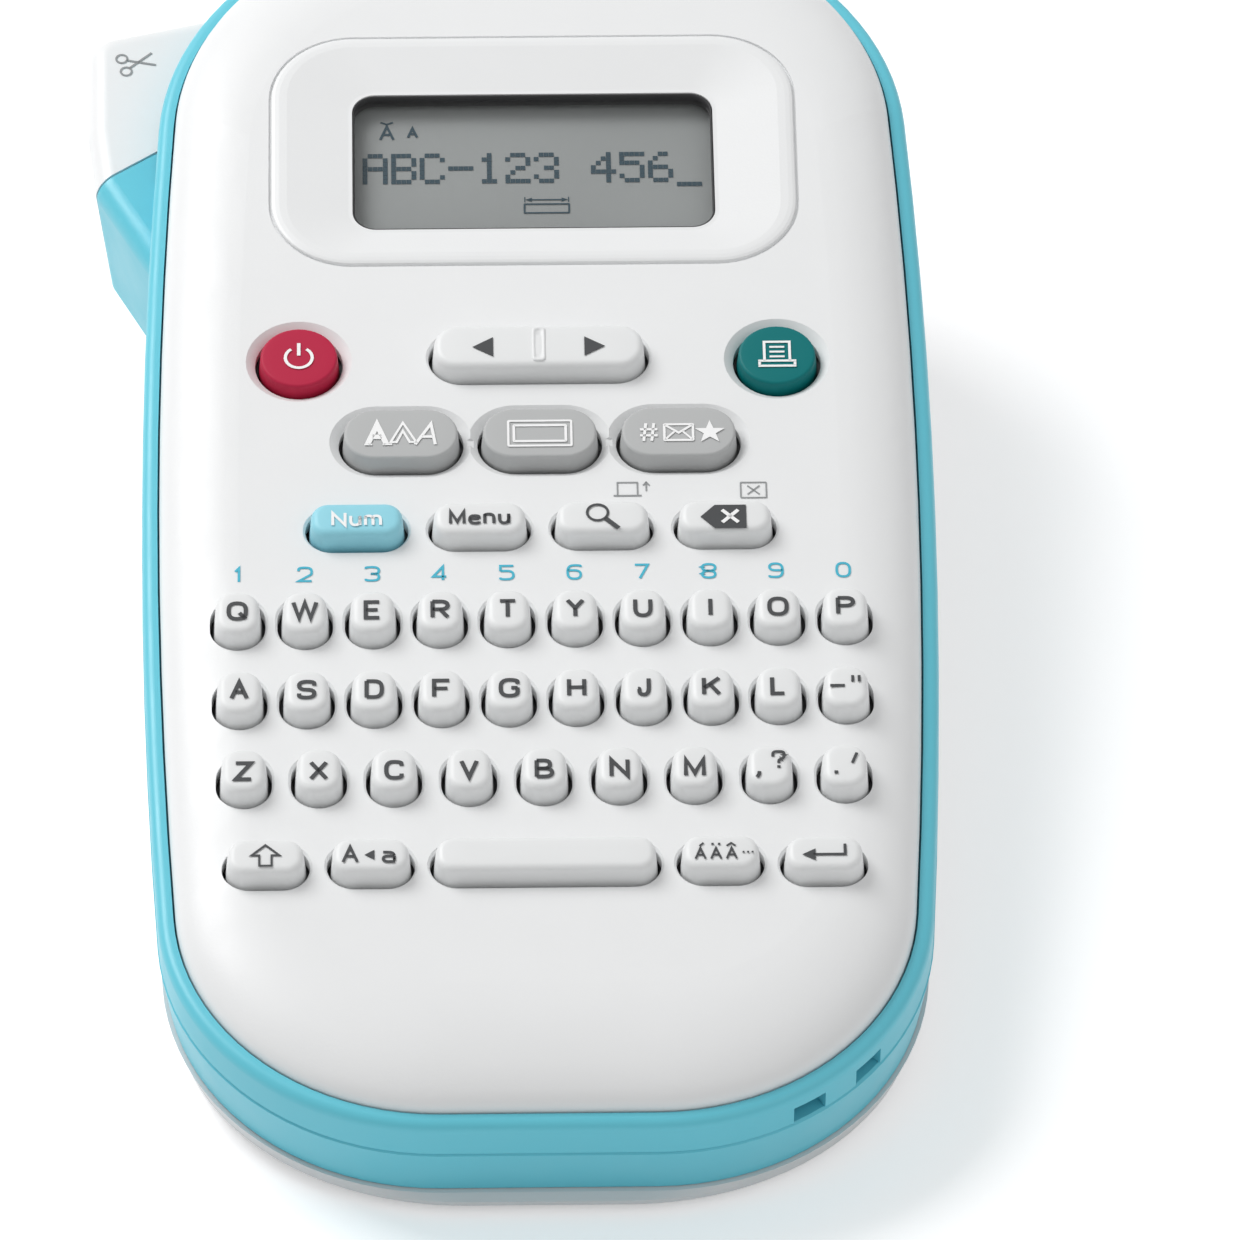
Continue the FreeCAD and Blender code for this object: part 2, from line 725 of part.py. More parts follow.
def bay_block(inset, top, under, rounding):
    """The bulge beside the display: upright, narrower below, rounded where it meets the hand."""
    def ring(extra, level):
        wire = polygon(BAY_CORNERS, level)
        if inset + extra:
            wire = wire.makeOffset2D(-(inset + extra), 2)
        return wire
    block = Part.makeLoft([ring(0, top), ring(2.0, under)], True, True)
    if rounding:
        steep = []
        for edge in block.Edges:
            a, b = edge.Vertexes[0].Point, edge.Vertexes[1].Point
            if abs(a.z - b.z) > 5 and a.x < -50:
                steep.append(edge)
        block = block.makeFillet(4.2, steep)
        rim = [e for e in block.Edges if abs(e.BoundBox.ZMin - top) < 1e-4 and e.BoundBox.XMin < -49]
        block = block.makeFillet(rounding, rim)
    return block


BAY = bay_block(0, size("bay_top"), size("bay_under"), size("bay_round"))
BAY_INSIDE = bay_block(size("bay_wall"), size("bay_top") - size("bay_wall"), size("bay_floor"), 0)


def make_cutter_lever():
    """The white side lever: a hollow shell on an upright pivot."""
    top, floor = size("bay_top"), size("bay_floor") + 0.3
    u, v, r = size("pivot_u"), size("pivot_v"), size("pivot_radius")
    plan = upright(LEVER_PLAN, floor, top + 1)
    shell = BAY.common(plan)
    inside = BAY_INSIDE.common(upright(LEVER_PLAN, floor - 1, top - size("bay_wall")))
    wall = size("bay_wall")
    hollow = inside.common(box(-62, -38 - wall, 56.5 + wall, 95, -40, 10))
    keep_clear = post(u, v, r + 2.1, -30, 5)
    shell = shell.cut(hollow.cut(keep_clear))
    shell = shell.fuse(post(u, v, r + 2.1, floor, top - 0.5).common(plan))
    return shell.cut(post(u, v, r + size("pivot_gap"), -30, 5))


def blade_shape():
    """A steel blade with a slanted edge, held in the lever's inner wall."""
    v, thick = 84.6, 0.6
    points = [(-37.98, -3.2), (-35.6, -3.2), (-34.9, -10.0), (-35.6, -17.0), (-37.98, -17.0)]
    corners = [Vector(a, v, w) for a, w in points]
    return Part.Face(Part.makePolygon(corners + corners[:1])).extrude(Vector(0, thick, 0))


shape_part("cutter_lever", make_cutter_lever(), on_face())
shape_part("cutter_blade", blade_shape(), on_face())

# ---------------------------------------------------------------- lower case


def case_band():
    """The blue band under the parting line, with a fine groove at its top edge."""
    depth, draft = size("band_depth"), size("band_draft")
    wires = [casing_wire(0.35, level=-0.1), casing_wire(0.0, level=-0.4), casing_wire(draft, level=-depth)]
    return Part.makeLoft(wires, True, True).cut(casing_prism(size("band_wall"), -depth - 1, 1))


def battery_box():
    """The raised box that holds six cells, open to the rear."""
    half = 3 * size("cell_pitch")
    v0, v1 = size("cell_v") - 0.8, size("cell_v") + size("cell_length") + 1.8
    top = size("cell_level") + size("cell_radius") + 0.3
    wall, rim = 1.3, -8.2
    outer = box(-half - 0.4 - wall, half + 0.4 + wall, v0 - wall, v1 + wall, rim, top + wall)
    inner = box(-half - 0.4, half + 0.4, v0, v1, rim - 1, top)
    return outer.common(casing_prism(5.6, rim, top + wall)), inner


def cassette_bay():
    """Low walls round the tape cassette, open on the side of the print head."""
    u0 = size("cassette_u") - size("cassette_width") / 2 - 0.5
    u1 = size("cassette_u") + size("cassette_width") / 2 + 0.5
    v0 = size("cassette_v") - size("cassette_length") / 2 - 0.5
    v1 = size("cassette_v") + size("cassette_length") / 2 + 0.5
    wall, floor, top = 1.3, -14.0, size("deck_under") + 0.1
    outer = box(u0 - wall, u1 + wall, v0 - wall, v1 + wall, floor, top)
    inner = box(u0, u1, v0, v1, floor - 1, top + 1)
    side = box(u0 - 5, u0 + 8, 29.0, v1 + 5, floor - 1, top + 1)
    return outer.cut([inner, side])


def cutter_housing():
    """The blue bulge below the lever, the floor under it and the lever's pivot post."""
    floor, under = size("bay_floor"), size("bay_under")
    shell = BAY.common(upright(HOUSING_PLAN, under, 5))
    wall = size("bay_wall")
    hollow = BAY_INSIDE.common(box(-62, -38 - wall, 36, 55.5 - wall, floor, size("deck_under")))
    shell = shell.cut(hollow)
    hidden = bay_block(size("base_inset"), size("bay_top"), under, 0)
    right = THROAT_WALL + 1.2
    base = hidden.common(box(-62, -38, 36, 95, under, floor))
    base = base.fuse(box(-39, right, 40, 82, under, floor))
    pin = post(size("pivot_u"), size("pivot_v"), size("pivot_radius"), floor - 0.5, size("bay_top") - 0.3)
    top = size("deck_under") + 0.2
    side = [Vector(THROAT_WALL, v, w) for v, w in ((57, under), (82, under), (90, top), (57, top), (57, under))]
    guide = Part.Face(Part.makePolygon(side)).extrude(Vector(1.2, 0, 0))
    return shell.fuse([base, pin, guide])


def make_lower_case():
    deck = casing_prism(size("band_wall") - 0.3, size("deck_under"), size("deck_top"))
    outer, inner = battery_box()
    swing = upright(SWING_PLAN, -size("band_depth") - 1, 1)
    case = case_band().fuse([deck, outer, cassette_bay()]).cut([inner, swing])
    platen, drive = platen_centre(), drive_centre()
    floor = size("bay_floor")
    holes = [post(*platen, size("shaft_radius") + size("shaft_gap"), floor - 5, 2)]
    holes.append(post(*platen, size("platen_radius") + 0.4, floor, size("deck_under")))
    holes.append(post(*drive, 2.2, -8, 2))
    holes.append(post(*drive, size("motor_radius") + 0.3, floor, size("deck_under")))
    for u, v in SCREWS:
        holes.append(post(u, v, size("screw_radius") + 0.35, -8, 2))
    return case.fuse(cutter_housing()).cut(holes).removeSplitter()


def platen_centre():
    return size("platen_u"), size("platen_v")


def drive_centre():
    """Where the drive gear's axis is, one centre distance from the platen."""
    reach = size("tooth_module") * (size("platen_teeth") + size("drive_teeth")) / 2
    turn = math.radians(size("drive_angle"))
    return size("platen_u") + reach * math.cos(turn), size("platen_v") + reach * math.sin(turn)


shape_part("lower_case", make_lower_case(), on_face())

# ---------------------------------------------------------------- rear cover


def rear_block(inset, top_level, floor, roll, lift, steps):
    """A tub from the sloping edge of the band down to a flat foot, with a rolled lower edge."""
    rim = casing_wire(size("rear_inset") + inset, level=top_level)
    rim.Placement = on_face().multiply(rim.Placement)
    sections = [rim]
    slack = size("half_length") * (1 - math.cos(math.radians(TILT)))
    for i in range(steps + 1):
        angle = math.pi / 2 * i / steps
        edge = size("rear_inset") + inset + roll * (1 - math.cos(angle))
        near = edge + slack + size("rear_near_flare")
        far = edge + slack + size("rear_far_flare")
        level = floor + lift * (1 - math.sin(angle))
        sections.append(casing_wire(edge + size("rear_side_flare"), near, far, level, foot=True))
    return Part.makeLoft(sections, True, True)


def make_rear_cover():
    wall, top = size("rear_wall"), -size("band_depth") - 0.15
    outside = rear_block(0, top, 0, size("rear_roll"), size("rear_lift"), 8)
    inside = rear_block(wall, top + 0.01, wall, 2.0, 0.5, 2)
    clear = bay_block(-0.35, 2, size("bay_under") - 0.35, 0)
    clear = clear.common(box(-70, -34, 30, 110, -40, 10))
    throat = box(-60, -30.5, 66, 110, size("bay_under") - 0.35, 3)
    tools = [inside]
    for tool in (clear, throat):
        tool.Placement = on_face().multiply(tool.Placement)
        tools.append(tool)
    return outside.cut(tools + [thumb_grip()])


def thumb_grip():
    """A shallow recess under the display end, crossed by ridges, where a thumb slides the cover off."""
    wide, tall, deep, v = (size(f"grip_{name}") for name in ("width", "height", "depth", "v"))
    recess = Part.Face(slot_wire(0, v, wide, tall, -1)).extrude(Vector(0, 0, 1 + deep))
    ridges = [box(-wide, wide, v + step - 0.5, v + step + 0.5, 0.3, deep + 1) for step in (-3, -1, 1, 3)]
    return recess.cut(ridges)


shape_part("rear_cover", make_rear_cover(), Placement())

# ---------------------------------------------------------------- display and boards


def rounded_plate(width, height, radius, v, floor, top):
    return prism(rounded_wire(width, height, radius, v, floor), top - floor)


def make_display_module():
    """The glass sandwich of the display, with its driver ledge along the low edge."""
    v, top = size("display_v"), size("module_top")
    wide, tall = size("module_width"), size("module_height")
    glass = rounded_plate(wide, tall, 0.6, v, BOARD_TOP + 0.05, top)
    ledge = box(-wide / 2 - 1, wide / 2 + 1, v - tall / 2 - 1, v - tall / 2 + 2, top - 0.9, top + 1)
    return glass.cut(ledge)


def make_display_window():
    """The clear lens that is stuck to the lip under the window."""
    top = size("lip_under") - 0.02
    grow = 2 * size("lip_width") - 0.4
    wide, tall = size("window_width") + grow, size("window_height") + grow
    return rounded_plate(wide, tall, 4.0, size("display_v"), top - size("lens_thick"), top)


def make_main_board():
    """The circuit board, cut back round the print end of the tape path."""
    floor = size("board_under")
    board = casing_prism(size("board_inset"), floor, BOARD_TOP)
    return board.cut(box(-60, -27, 78, 110, floor - 1, BOARD_TOP + 1))


def make_key_mat():
    """The rubber sheet under the keys, with a low boss for each key."""
    floor = BOARD_TOP + size("mat_gap")
    top = floor + size("mat_thick")
    sheet_part = rounded_plate(size("mat_width"), size("mat_length"), 9.0, size("mat_v"), floor, top)
    bosses = []
    for name, u, v, width_cell, height_cell, finish in KEYS:
        width, height = key_size(width_cell, height_cell)
        boss = slot_wire(u, v, width - 1.6, height - 1.6, top - 0.1)
        bosses.append(prism(boss, size("mat_boss") + 0.1))
    return sheet_part.fuse(bosses).removeSplitter()


shape_part("display_module", make_display_module(), on_face())
shape_part("display_window", make_display_window(), on_face())
shape_part("main_board", make_main_board(), on_face())
shape_part("key_mat", make_key_mat(), on_face())

# ---------------------------------------------------------------- tape drive

PRESSURE_ANGLE = math.radians(20)


def involute(angle):
    return math.tan(angle) - angle


def gear_wire(teeth, level):
    """An involute gear outline with a tooth on the u axis."""
    pitch = size("tooth_module") * teeth / 2
    base = pitch * math.cos(PRESSURE_ANGLE)
    tip, root = pitch + size("tooth_module"), pitch - 1.25 * size("tooth_module")
    half = math.pi / (2 * teeth) - size("tooth_play") / (2 * pitch)

    def flank(radius, tooth, side):
        bend = involute(math.acos(min(1.0, base / radius)))
        angle = 2 * math.pi * tooth / teeth + side * (half + involute(PRESSURE_ANGLE) - bend)
        return Vector(radius * math.cos(angle), radius * math.sin(angle), level)

    def arc_through(a, b, radius):
        middle = Vector(a.x + b.x, a.y + b.y, 0).normalize() * radius
        middle.z = level
        return Part.Arc(a, middle, b).toShape()

    start = max(base, root)
    radii = [start + (tip - start) * i / 3 for i in range(4)]
    edges = []
    for tooth in range(int(teeth)):
        rising = [flank(r, tooth, -1) for r in radii]
        falling = [flank(r, tooth, 1) for r in reversed(radii)]
        feet = [Vector(q.x, q.y, 0).normalize() * root for q in (rising[0], falling[-1])]
        foot = [q + Vector(0, 0, level) for q in feet]
        if start > root:
            edges.append(Part.LineSegment(foot[0], rising[0]).toShape())
        for run in (rising, falling):
            curve = Part.BSplineCurve()
            curve.interpolate(run)
            if run is falling:
                edges.append(arc_through(rising[-1], falling[0], tip))
            edges.append(curve.toShape())
        if start > root:
            edges.append(Part.LineSegment(falling[-1], foot[1]).toShape())
        after = flank(start, tooth + 1, -1)
        next_foot = Vector(after.x, after.y, 0).normalize() * root + Vector(0, 0, level)
        edges.append(arc_through(foot[1], next_foot, root))
    return Part.Wire(edges)


def gear(teeth, turn):
    """A toothed wheel about the origin at the level of the drive train."""
    floor = size("gear_floor")
    wheel = prism(gear_wire(teeth, floor), size("gear_thick"))
    wheel.rotate(Vector(0, 0, 0), Vector(0, 0, 1), turn)
    return wheel


def make_platen_roller():
    """The rubber roller that draws the tape, on its shaft with a gear at the top."""
    top, length = size("platen_top"), size("platen_length")
    roller = post(0, 0, size("platen_radius"), top - length, top)
    shaft = post(0, 0, size("shaft_radius"), size("bay_under") + 0.1, size("gear_floor") + 0.1)
    return gear(size("platen_teeth"), size("drive_angle")).fuse([shaft, roller]).removeSplitter()


def make_drive_gear():
    """The motor's pinion on its output shaft."""
    teeth = size("drive_teeth")
    turn = size("drive_angle") + 180 + 180 / teeth
    shaft = post(0, 0, size("shaft_radius") - 0.25, size("deck_under") - 4, size("gear_floor") + 0.1)
    return gear(teeth, turn).fuse(shaft).removeSplitter()


def make_drive_motor():
    """A small geared motor that hangs under the deck."""
    top = size("deck_under") - 0.05
    can = post(0, 0, size("motor_radius"), top - size("motor_length"), top)
    neck = post(0, 0, 2.0, top - 1, size("deck_top"))
    bearing = post(0, 0, size("shaft_radius") - 0.25 + size("shaft_gap"), top - 4.5, 5)
    return can.fuse(neck).cut(bearing)


def make_print_head():
    """The thermal head and its plate, facing the platen across the tape."""
    v, half = size("platen_v"), size("head_length") / 2
    face, back = size("head_face"), size("head_back")
    plate = box(face + 1.2, back, v - half, v + half, -19.0, size("deck_under") - 0.05)
    head = box(face, face + 1.3, v - half + 2, v + half - 2, -18.6, -4.6)
    return plate.fuse(head)


shape_part("platen_roller", make_platen_roller(), on_face(*platen_centre()))
shape_part("drive_gear", make_drive_gear(), on_face(*drive_centre()))
shape_part("drive_motor", make_drive_motor(), on_face(*drive_centre()))
shape_part("print_head", make_print_head(), on_face())

# ---------------------------------------------------------------- cassette and cells


def make_tape_cassette():
    """The tape cassette, notched for the print head and the roller."""
    half_u, half_v = size("cassette_width") / 2, size("cassette_length") / 2
    u, v, top = size("cassette_u"), size("cassette_v"), size("cassette_top")
    floor = top - size("cassette_thick")
    shell = box(u - half_u, u + half_u, v - half_v, v + half_v, floor, top)
    upright_edges = [e for e in shell.Edges if e.BoundBox.ZLength > 10]
    shell = shell.makeFillet(2.5, upright_edges)
    notch = box(u - half_u - 1, size("head_back") + 0.5, size("platen_v") - 6.3, 80, floor - 1, top + 1)
    window = slot_wire(u + 12, v + 4, 22.0, 9.0, floor - 1)
    return shell.cut([notch, prism(window, 1.6)])


def make_batteries():
    """Six cells side by side, every other one turned round."""
    r, length, nub = size("cell_radius"), size("cell_length"), size("cell_nub")
    cells = []
    for i in range(6):
        cell = Part.makeCylinder(r, length - nub).fuse(Part.makeCylinder(r * 0.38, length))
        cell.translate(Vector(0, 0, -length / 2))
        turn = Rotation(Vector(1, 0, 0), -90 if i % 2 else 90)
        centre = Vector((i - 2.5) * size("cell_pitch"), size("cell_v") + length / 2, size("cell_level"))
        cell.Placement = Placement(centre, turn).multiply(cell.Placement)
        cells.append(cell)
    return Part.makeCompound(cells)


shape_part("tape_cassette", make_tape_cassette(), on_face())
shape_part("batteries", make_batteries(), on_face())

# ---------------------------------------------------------------- checks and files

doc.recompute()
for item in doc.Objects:
    failed = {"Invalid", "Error"} & set(item.State)
    if failed:
        raise RuntimeError(f"{item.Name} is {failed}")

for item in sub_parts:
    if item.Shape.isNull() or not item.Shape.isValid():
        raise RuntimeError(f"{item.Label} has no valid shape")

whole = FreeCAD.BoundBox()
for item in sub_parts:
    whole.add(item.Shape.BoundBox)
    item.Shape.exportStep(f"parts/{item.Label}.step")
    print(f"{item.Label}: {len(item.Shape.Solids)} solid(s), {item.Shape.Volume:.0f} mm3")

print(f"{len(sub_parts)} sub-parts, {whole.XLength:.1f} x {whole.YLength:.1f} x {whole.ZLength:.1f} mm")
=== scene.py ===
"""Looks of a handheld label maker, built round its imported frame. Lengths in the tables are millimetres on the
keyboard face: u to the right, v along the face towards the display, w out of the face."""
import json
import math

import bmesh
import bpy
from mathutils import Matrix, Vector
from mathutils.bvhtree import BVHTree


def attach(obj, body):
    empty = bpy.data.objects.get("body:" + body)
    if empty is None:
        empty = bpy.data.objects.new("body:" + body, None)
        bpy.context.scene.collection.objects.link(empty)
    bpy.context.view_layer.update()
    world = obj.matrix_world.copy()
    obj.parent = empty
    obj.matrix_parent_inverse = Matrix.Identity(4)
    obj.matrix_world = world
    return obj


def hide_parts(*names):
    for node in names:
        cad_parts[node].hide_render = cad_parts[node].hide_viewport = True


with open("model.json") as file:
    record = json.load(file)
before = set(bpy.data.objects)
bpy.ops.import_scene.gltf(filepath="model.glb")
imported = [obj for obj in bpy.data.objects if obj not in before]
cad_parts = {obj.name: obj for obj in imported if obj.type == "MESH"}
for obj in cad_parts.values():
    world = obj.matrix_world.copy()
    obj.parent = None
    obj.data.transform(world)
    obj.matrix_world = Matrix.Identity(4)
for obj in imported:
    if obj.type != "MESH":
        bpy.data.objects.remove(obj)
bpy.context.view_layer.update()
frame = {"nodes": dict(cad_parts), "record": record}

MM = 0.001
NODES = frame["nodes"]
SLOTS = {part["node"]: part["material_slot"] for part in frame["record"]["subparts"]}
BODY_OF = {node: body for body, nodes in frame["record"]["behaviour"]["bodies"].items() for node in nodes}

# ---------------------------------------------------------------- the face frame

FACE_LIFT = 28.3 * MM
JOINTS = {joint["name"]: joint for joint in frame["record"]["behaviour"]["joints"]}
FACE_NORMAL = -Vector(JOINTS["press_space"]["axis"])
TILT = math.atan2(-FACE_NORMAL.y, FACE_NORMAL.z)
FACE = Matrix.Translation((0, 0, FACE_LIFT)) @ Matrix.Rotation(TILT, 4, "X") @ Matrix.Scale(MM, 4)
TO_FACE = FACE.inverted()


def face_box(node):
    """Lowest and highest corner of a CAD node in the face frame, in millimetres."""
    points = [TO_FACE @ vertex.co for vertex in NODES[node].data.vertices]
    low = Vector([min(p[i] for p in points) for i in range(3)])
    high = Vector([max(p[i] for p in points) for i in range(3)])
    return low, high


def middle(node):
    low, high = face_box(node)
    return (low + high) / 2


# ---------------------------------------------------------------- materials

WHITE = (0.860, 0.868, 0.872)
BLUE = (0.135, 0.600, 0.730)
REAR_WHITE = (0.700, 0.712, 0.720)
KEY_WHITE = (0.830, 0.840, 0.842)
RED = (0.500, 0.018, 0.062)
GREEN = (0.0, 0.175, 0.180)
GREY = (0.500, 0.508, 0.508)
KEY_BLUE = (0.300, 0.700, 0.820)
INK = (0.055, 0.058, 0.062)
PALE_INK = (0.300, 0.310, 0.315)
BLUE_INK = (0.055, 0.480, 0.640)
WHITE_INK = (0.960, 0.962, 0.962)
LCD_BACK = (0.265, 0.280, 0.278)
LCD_DARK = (0.006, 0.040, 0.062)


def new_material(name):
    material = bpy.data.materials.new(name)
    material.use_nodes = True
    tree = material.node_tree
    shader = tree.nodes["Principled BSDF"]
    return material, tree, shader


def add_noise(tree, scale, detail=4.0):
    """A noise texture in object space, which for every piece here is the row frame in metres."""
    place = tree.nodes.new("ShaderNodeTexCoord")
    noise = tree.nodes.new("ShaderNodeTexNoise")
    noise.inputs["Scale"].default_value = scale
    noise.inputs["Detail"].default_value = detail
    tree.links.new(place.outputs["Object"], noise.inputs["Vector"])
    return noise


def spread(tree, source, low, high):
    """Maps a noise of 0..1 to the range low..high."""
    ramp = tree.nodes.new("ShaderNodeMapRange")
    ramp.inputs["From Min"].default_value = 0.3
    ramp.inputs["From Max"].default_value = 0.7
    ramp.inputs["To Min"].default_value = low
    ramp.inputs["To Max"].default_value = high
    tree.links.new(source, ramp.inputs["Value"])
    return ramp.outputs["Result"]


def tint(tree, shader, color, amount, scale):
    """Gives the colour a faint cloudiness of plus or minus amount."""
    noise = add_noise(tree, scale, 3.0)
    mix = tree.nodes.new("ShaderNodeMix")
    mix.data_type = "RGBA"
    mix.inputs["A"].default_value = (*[c * (1 - amount) for c in color], 1)
    mix.inputs["B"].default_value = (*[min(1.0, c * (1 + amount)) for c in color], 1)
    tree.links.new(noise.outputs["Fac"], mix.inputs["Factor"])
    tree.links.new(mix.outputs["Result"], shader.inputs["Base Color"])


def grain(tree, shader, scale, depth):
    """A fine bump, depth in metres."""
    noise = add_noise(tree, scale, 2.0)
    bump = tree.nodes.new("ShaderNodeBump")
    bump.inputs["Strength"].default_value = 0.6
    bump.inputs["Distance"].default_value = depth
    tree.links.new(noise.outputs["Fac"], bump.inputs["Height"])
    tree.links.new(bump.outputs["Normal"], shader.inputs["Normal"])


def plastic(name, color, rough=0.42, texture=2600.0, depth=0.00002, cloud=0.012, coat=0.0):
    """Moulded plastic: a faint cloudiness, an uneven gloss and the spark-eroded grain of the mould."""
    material, tree, shader = new_material(name)
    tint(tree, shader, color, cloud, 45.0)
    noise = add_noise(tree, 160.0, 3.0)
    tree.links.new(spread(tree, noise.outputs["Fac"], rough - 0.05, rough + 0.05), shader.inputs["Roughness"])
    grain(tree, shader, texture, depth)
    shader.inputs["Coat Weight"].default_value = coat
    shader.inputs["Coat Roughness"].default_value = 0.22
    return material


def crisp(name, color):
    """The hard keys: a satin skin with little gloss."""
    material = plastic(name, color, 0.48, 3000.0, 0.00001, 0.03)
    material.node_tree.nodes["Principled BSDF"].inputs["Specular IOR Level"].default_value = 0.22
    return material


def rubber(name, color, rough=0.55):
    material = plastic(name, color, rough, 3400.0, 0.000015, 0.01)
    shader = material.node_tree.nodes["Principled BSDF"]
    shader.inputs["Sheen Weight"].default_value = 0.12
    shader.inputs["Sheen Roughness"].default_value = 0.5
    return material


def metal(name, color, rough=0.3, brush=(1.0, 1.0, 1.0)):
    """Metal, brushed where one of the brush factors is much smaller than the others."""
    material, tree, shader = new_material(name)
    tint(tree, shader, color, 0.06, 120.0)
    shader.inputs["Metallic"].default_value = 1.0
    place = tree.nodes.new("ShaderNodeTexCoord")
    stretch = tree.nodes.new("ShaderNodeMapping")
    stretch.inputs["Scale"].default_value = brush
    noise = tree.nodes.new("ShaderNodeTexNoise")
    noise.inputs["Scale"].default_value = 2200.0
    tree.links.new(place.outputs["Object"], stretch.inputs["Vector"])
    tree.links.new(stretch.outputs["Vector"], noise.inputs["Vector"])
    tree.links.new(spread(tree, noise.outputs["Fac"], rough - 0.08, rough + 0.1), shader.inputs["Roughness"])
    bump = tree.nodes.new("ShaderNodeBump")
    bump.inputs["Strength"].default_value = 0.25
    bump.inputs["Distance"].default_value = 0.00001
    tree.links.new(noise.outputs["Fac"], bump.inputs["Height"])
    tree.links.new(bump.outputs["Normal"], shader.inputs["Normal"])
    return material


def ink(name, color, rough=0.5):
    """Screen-printed ink, slightly uneven."""
    material, tree, shader = new_material(name)
    tint(tree, shader, color, 0.05, 900.0)
    shader.inputs["Roughness"].default_value = rough
    return material


def lens_material():
    """Clear acrylic, thin enough that only its gloss shows."""
    material, tree, shader = new_material("clear_lens")
    tint(tree, shader, (0.93, 0.95, 0.95), 0.01, 60.0)
    shader.inputs["Roughness"].default_value = 0.04
    shader.inputs["Alpha"].default_value = 0.04
    shader.inputs["IOR"].default_value = 1.49
    material.surface_render_method = "BLENDED"
    return material


def display_material():
    """Reflective display: a grey-green back with a fine cell grid and a slow fade."""
    material, tree, shader = new_material("display_glass")
    place = tree.nodes.new("ShaderNodeTexCoord")
    grid = tree.nodes.new("ShaderNodeTexBrick")
    grid.offset = 0.0
    grid.inputs["Scale"].default_value = 1.0
    grid.inputs["Brick Width"].default_value = 0.42 * MM
    grid.inputs["Row Height"].default_value = 0.42 * MM
    grid.inputs["Mortar Size"].default_value = 0.03 * MM
    grid.inputs["Color1"].default_value = (*LCD_BACK, 1)
    grid.inputs["Color2"].default_value = (*LCD_BACK, 1)
    grid.inputs["Mortar"].default_value = (*[c * 1.04 for c in LCD_BACK], 1)
    turn = tree.nodes.new("ShaderNodeMapping")
    turn.inputs["Rotation"].default_value = (-TILT, 0, 0)
    tree.links.new(place.outputs["Object"], turn.inputs["Vector"])
    tree.links.new(turn.outputs["Vector"], grid.inputs["Vector"])
    fade = add_noise(tree, 30.0, 1.0)
    mix = tree.nodes.new("ShaderNodeMix")
    mix.data_type = "RGBA"
    mix.blend_type = "MULTIPLY"
    mix.inputs["Factor"].default_value = 1.0
    tree.links.new(grid.outputs["Color"], mix.inputs["A"])
    tree.links.new(spread(tree, fade.outputs["Fac"], 0.95, 1.05), mix.inputs["B"])
    tree.links.new(mix.outputs["Result"], shader.inputs["Base Color"])
    shader.inputs["Roughness"].default_value = 0.28
    return material


SKINS = {
    "white_shell": plastic("white_shell", WHITE, 0.40),
    "blue_shell": plastic("blue_shell", BLUE, 0.38, 2600.0, 0.000008, 0.008),
    "rear_shell": plastic("rear_shell", REAR_WHITE, 0.46, 2200.0, 0.00003),
    "key_soft": rubber("key_soft", KEY_WHITE, 0.44),
    "key_red": crisp("key_red", RED),
    "key_green": crisp("key_green", GREEN),
    "key_grey": crisp("key_grey", GREY),
    "key_blue": rubber("key_blue", KEY_BLUE, 0.44),
    "steel": metal("steel", (0.62, 0.62, 0.61), 0.30, (1.0, 1.0, 0.04)),
    "display_glass": display_material(),
    "clear_lens": lens_material(),
    "circuit_board": plastic("circuit_board", (0.015, 0.150, 0.060), 0.35, 1500.0, 0.00002, 0.12),
    "grey_rubber": rubber("grey_rubber", (0.420, 0.430, 0.440), 0.6),
    "black_rubber": rubber("black_rubber", (0.022, 0.022, 0.024), 0.65),
    "gear_plastic": plastic("gear_plastic", (0.760, 0.720, 0.580), 0.5),
    "ceramic": plastic("ceramic", (0.700, 0.690, 0.640), 0.5),
    "cassette_plastic": plastic("cassette_plastic", (0.060, 0.062, 0.068), 0.45, 1800.0, 0.00003, 0.05),
    "cell_label": metal("cell_label", (0.700, 0.380, 0.090), 0.32, (1.0, 0.05, 1.0)),
}
INKS = {
    "dark_ink": ink("dark_ink", INK),
    "pale_ink": ink("pale_ink", PALE_INK),
    "blue_ink": ink("blue_ink", BLUE_INK),
    "white_ink": ink("white_ink", WHITE_INK),
    "lcd_dark": ink("lcd_dark", LCD_DARK, 0.35),
}

for node_name, slot_name in SLOTS.items():
    skinned = NODES[node_name]
    skinned.data.materials.clear()
    skinned.data.materials.append(SKINS[slot_name])

# ---------------------------------------------------------------- printed marks

PRINT_THICK = 0.04
CURVE_STEPS = 20
DIGIT_PITCH = 8.36
DIGIT_V = -17.75


def arc(cx, cy, radius, start, end, steps=CURVE_STEPS):
    """Points of an arc, with angles in degrees."""
    turns = [math.radians(start + (end - start) * i / steps) for i in range(steps + 1)]
    return [(cx + radius * math.cos(a), cy + radius * math.sin(a)) for a in turns]


def rounded(cx, cy, width, height, radius):
    """The corner points of a rounded rectangle."""
    a, b = width / 2 - radius, height / 2 - radius
    points = []
    for i, (sx, sy) in enumerate(((1, 1), (-1, 1), (-1, -1), (1, -1))):
        points += arc(cx + sx * a, cy + sy * b, radius, 90 * i, 90 * i + 90, 6)
    return points


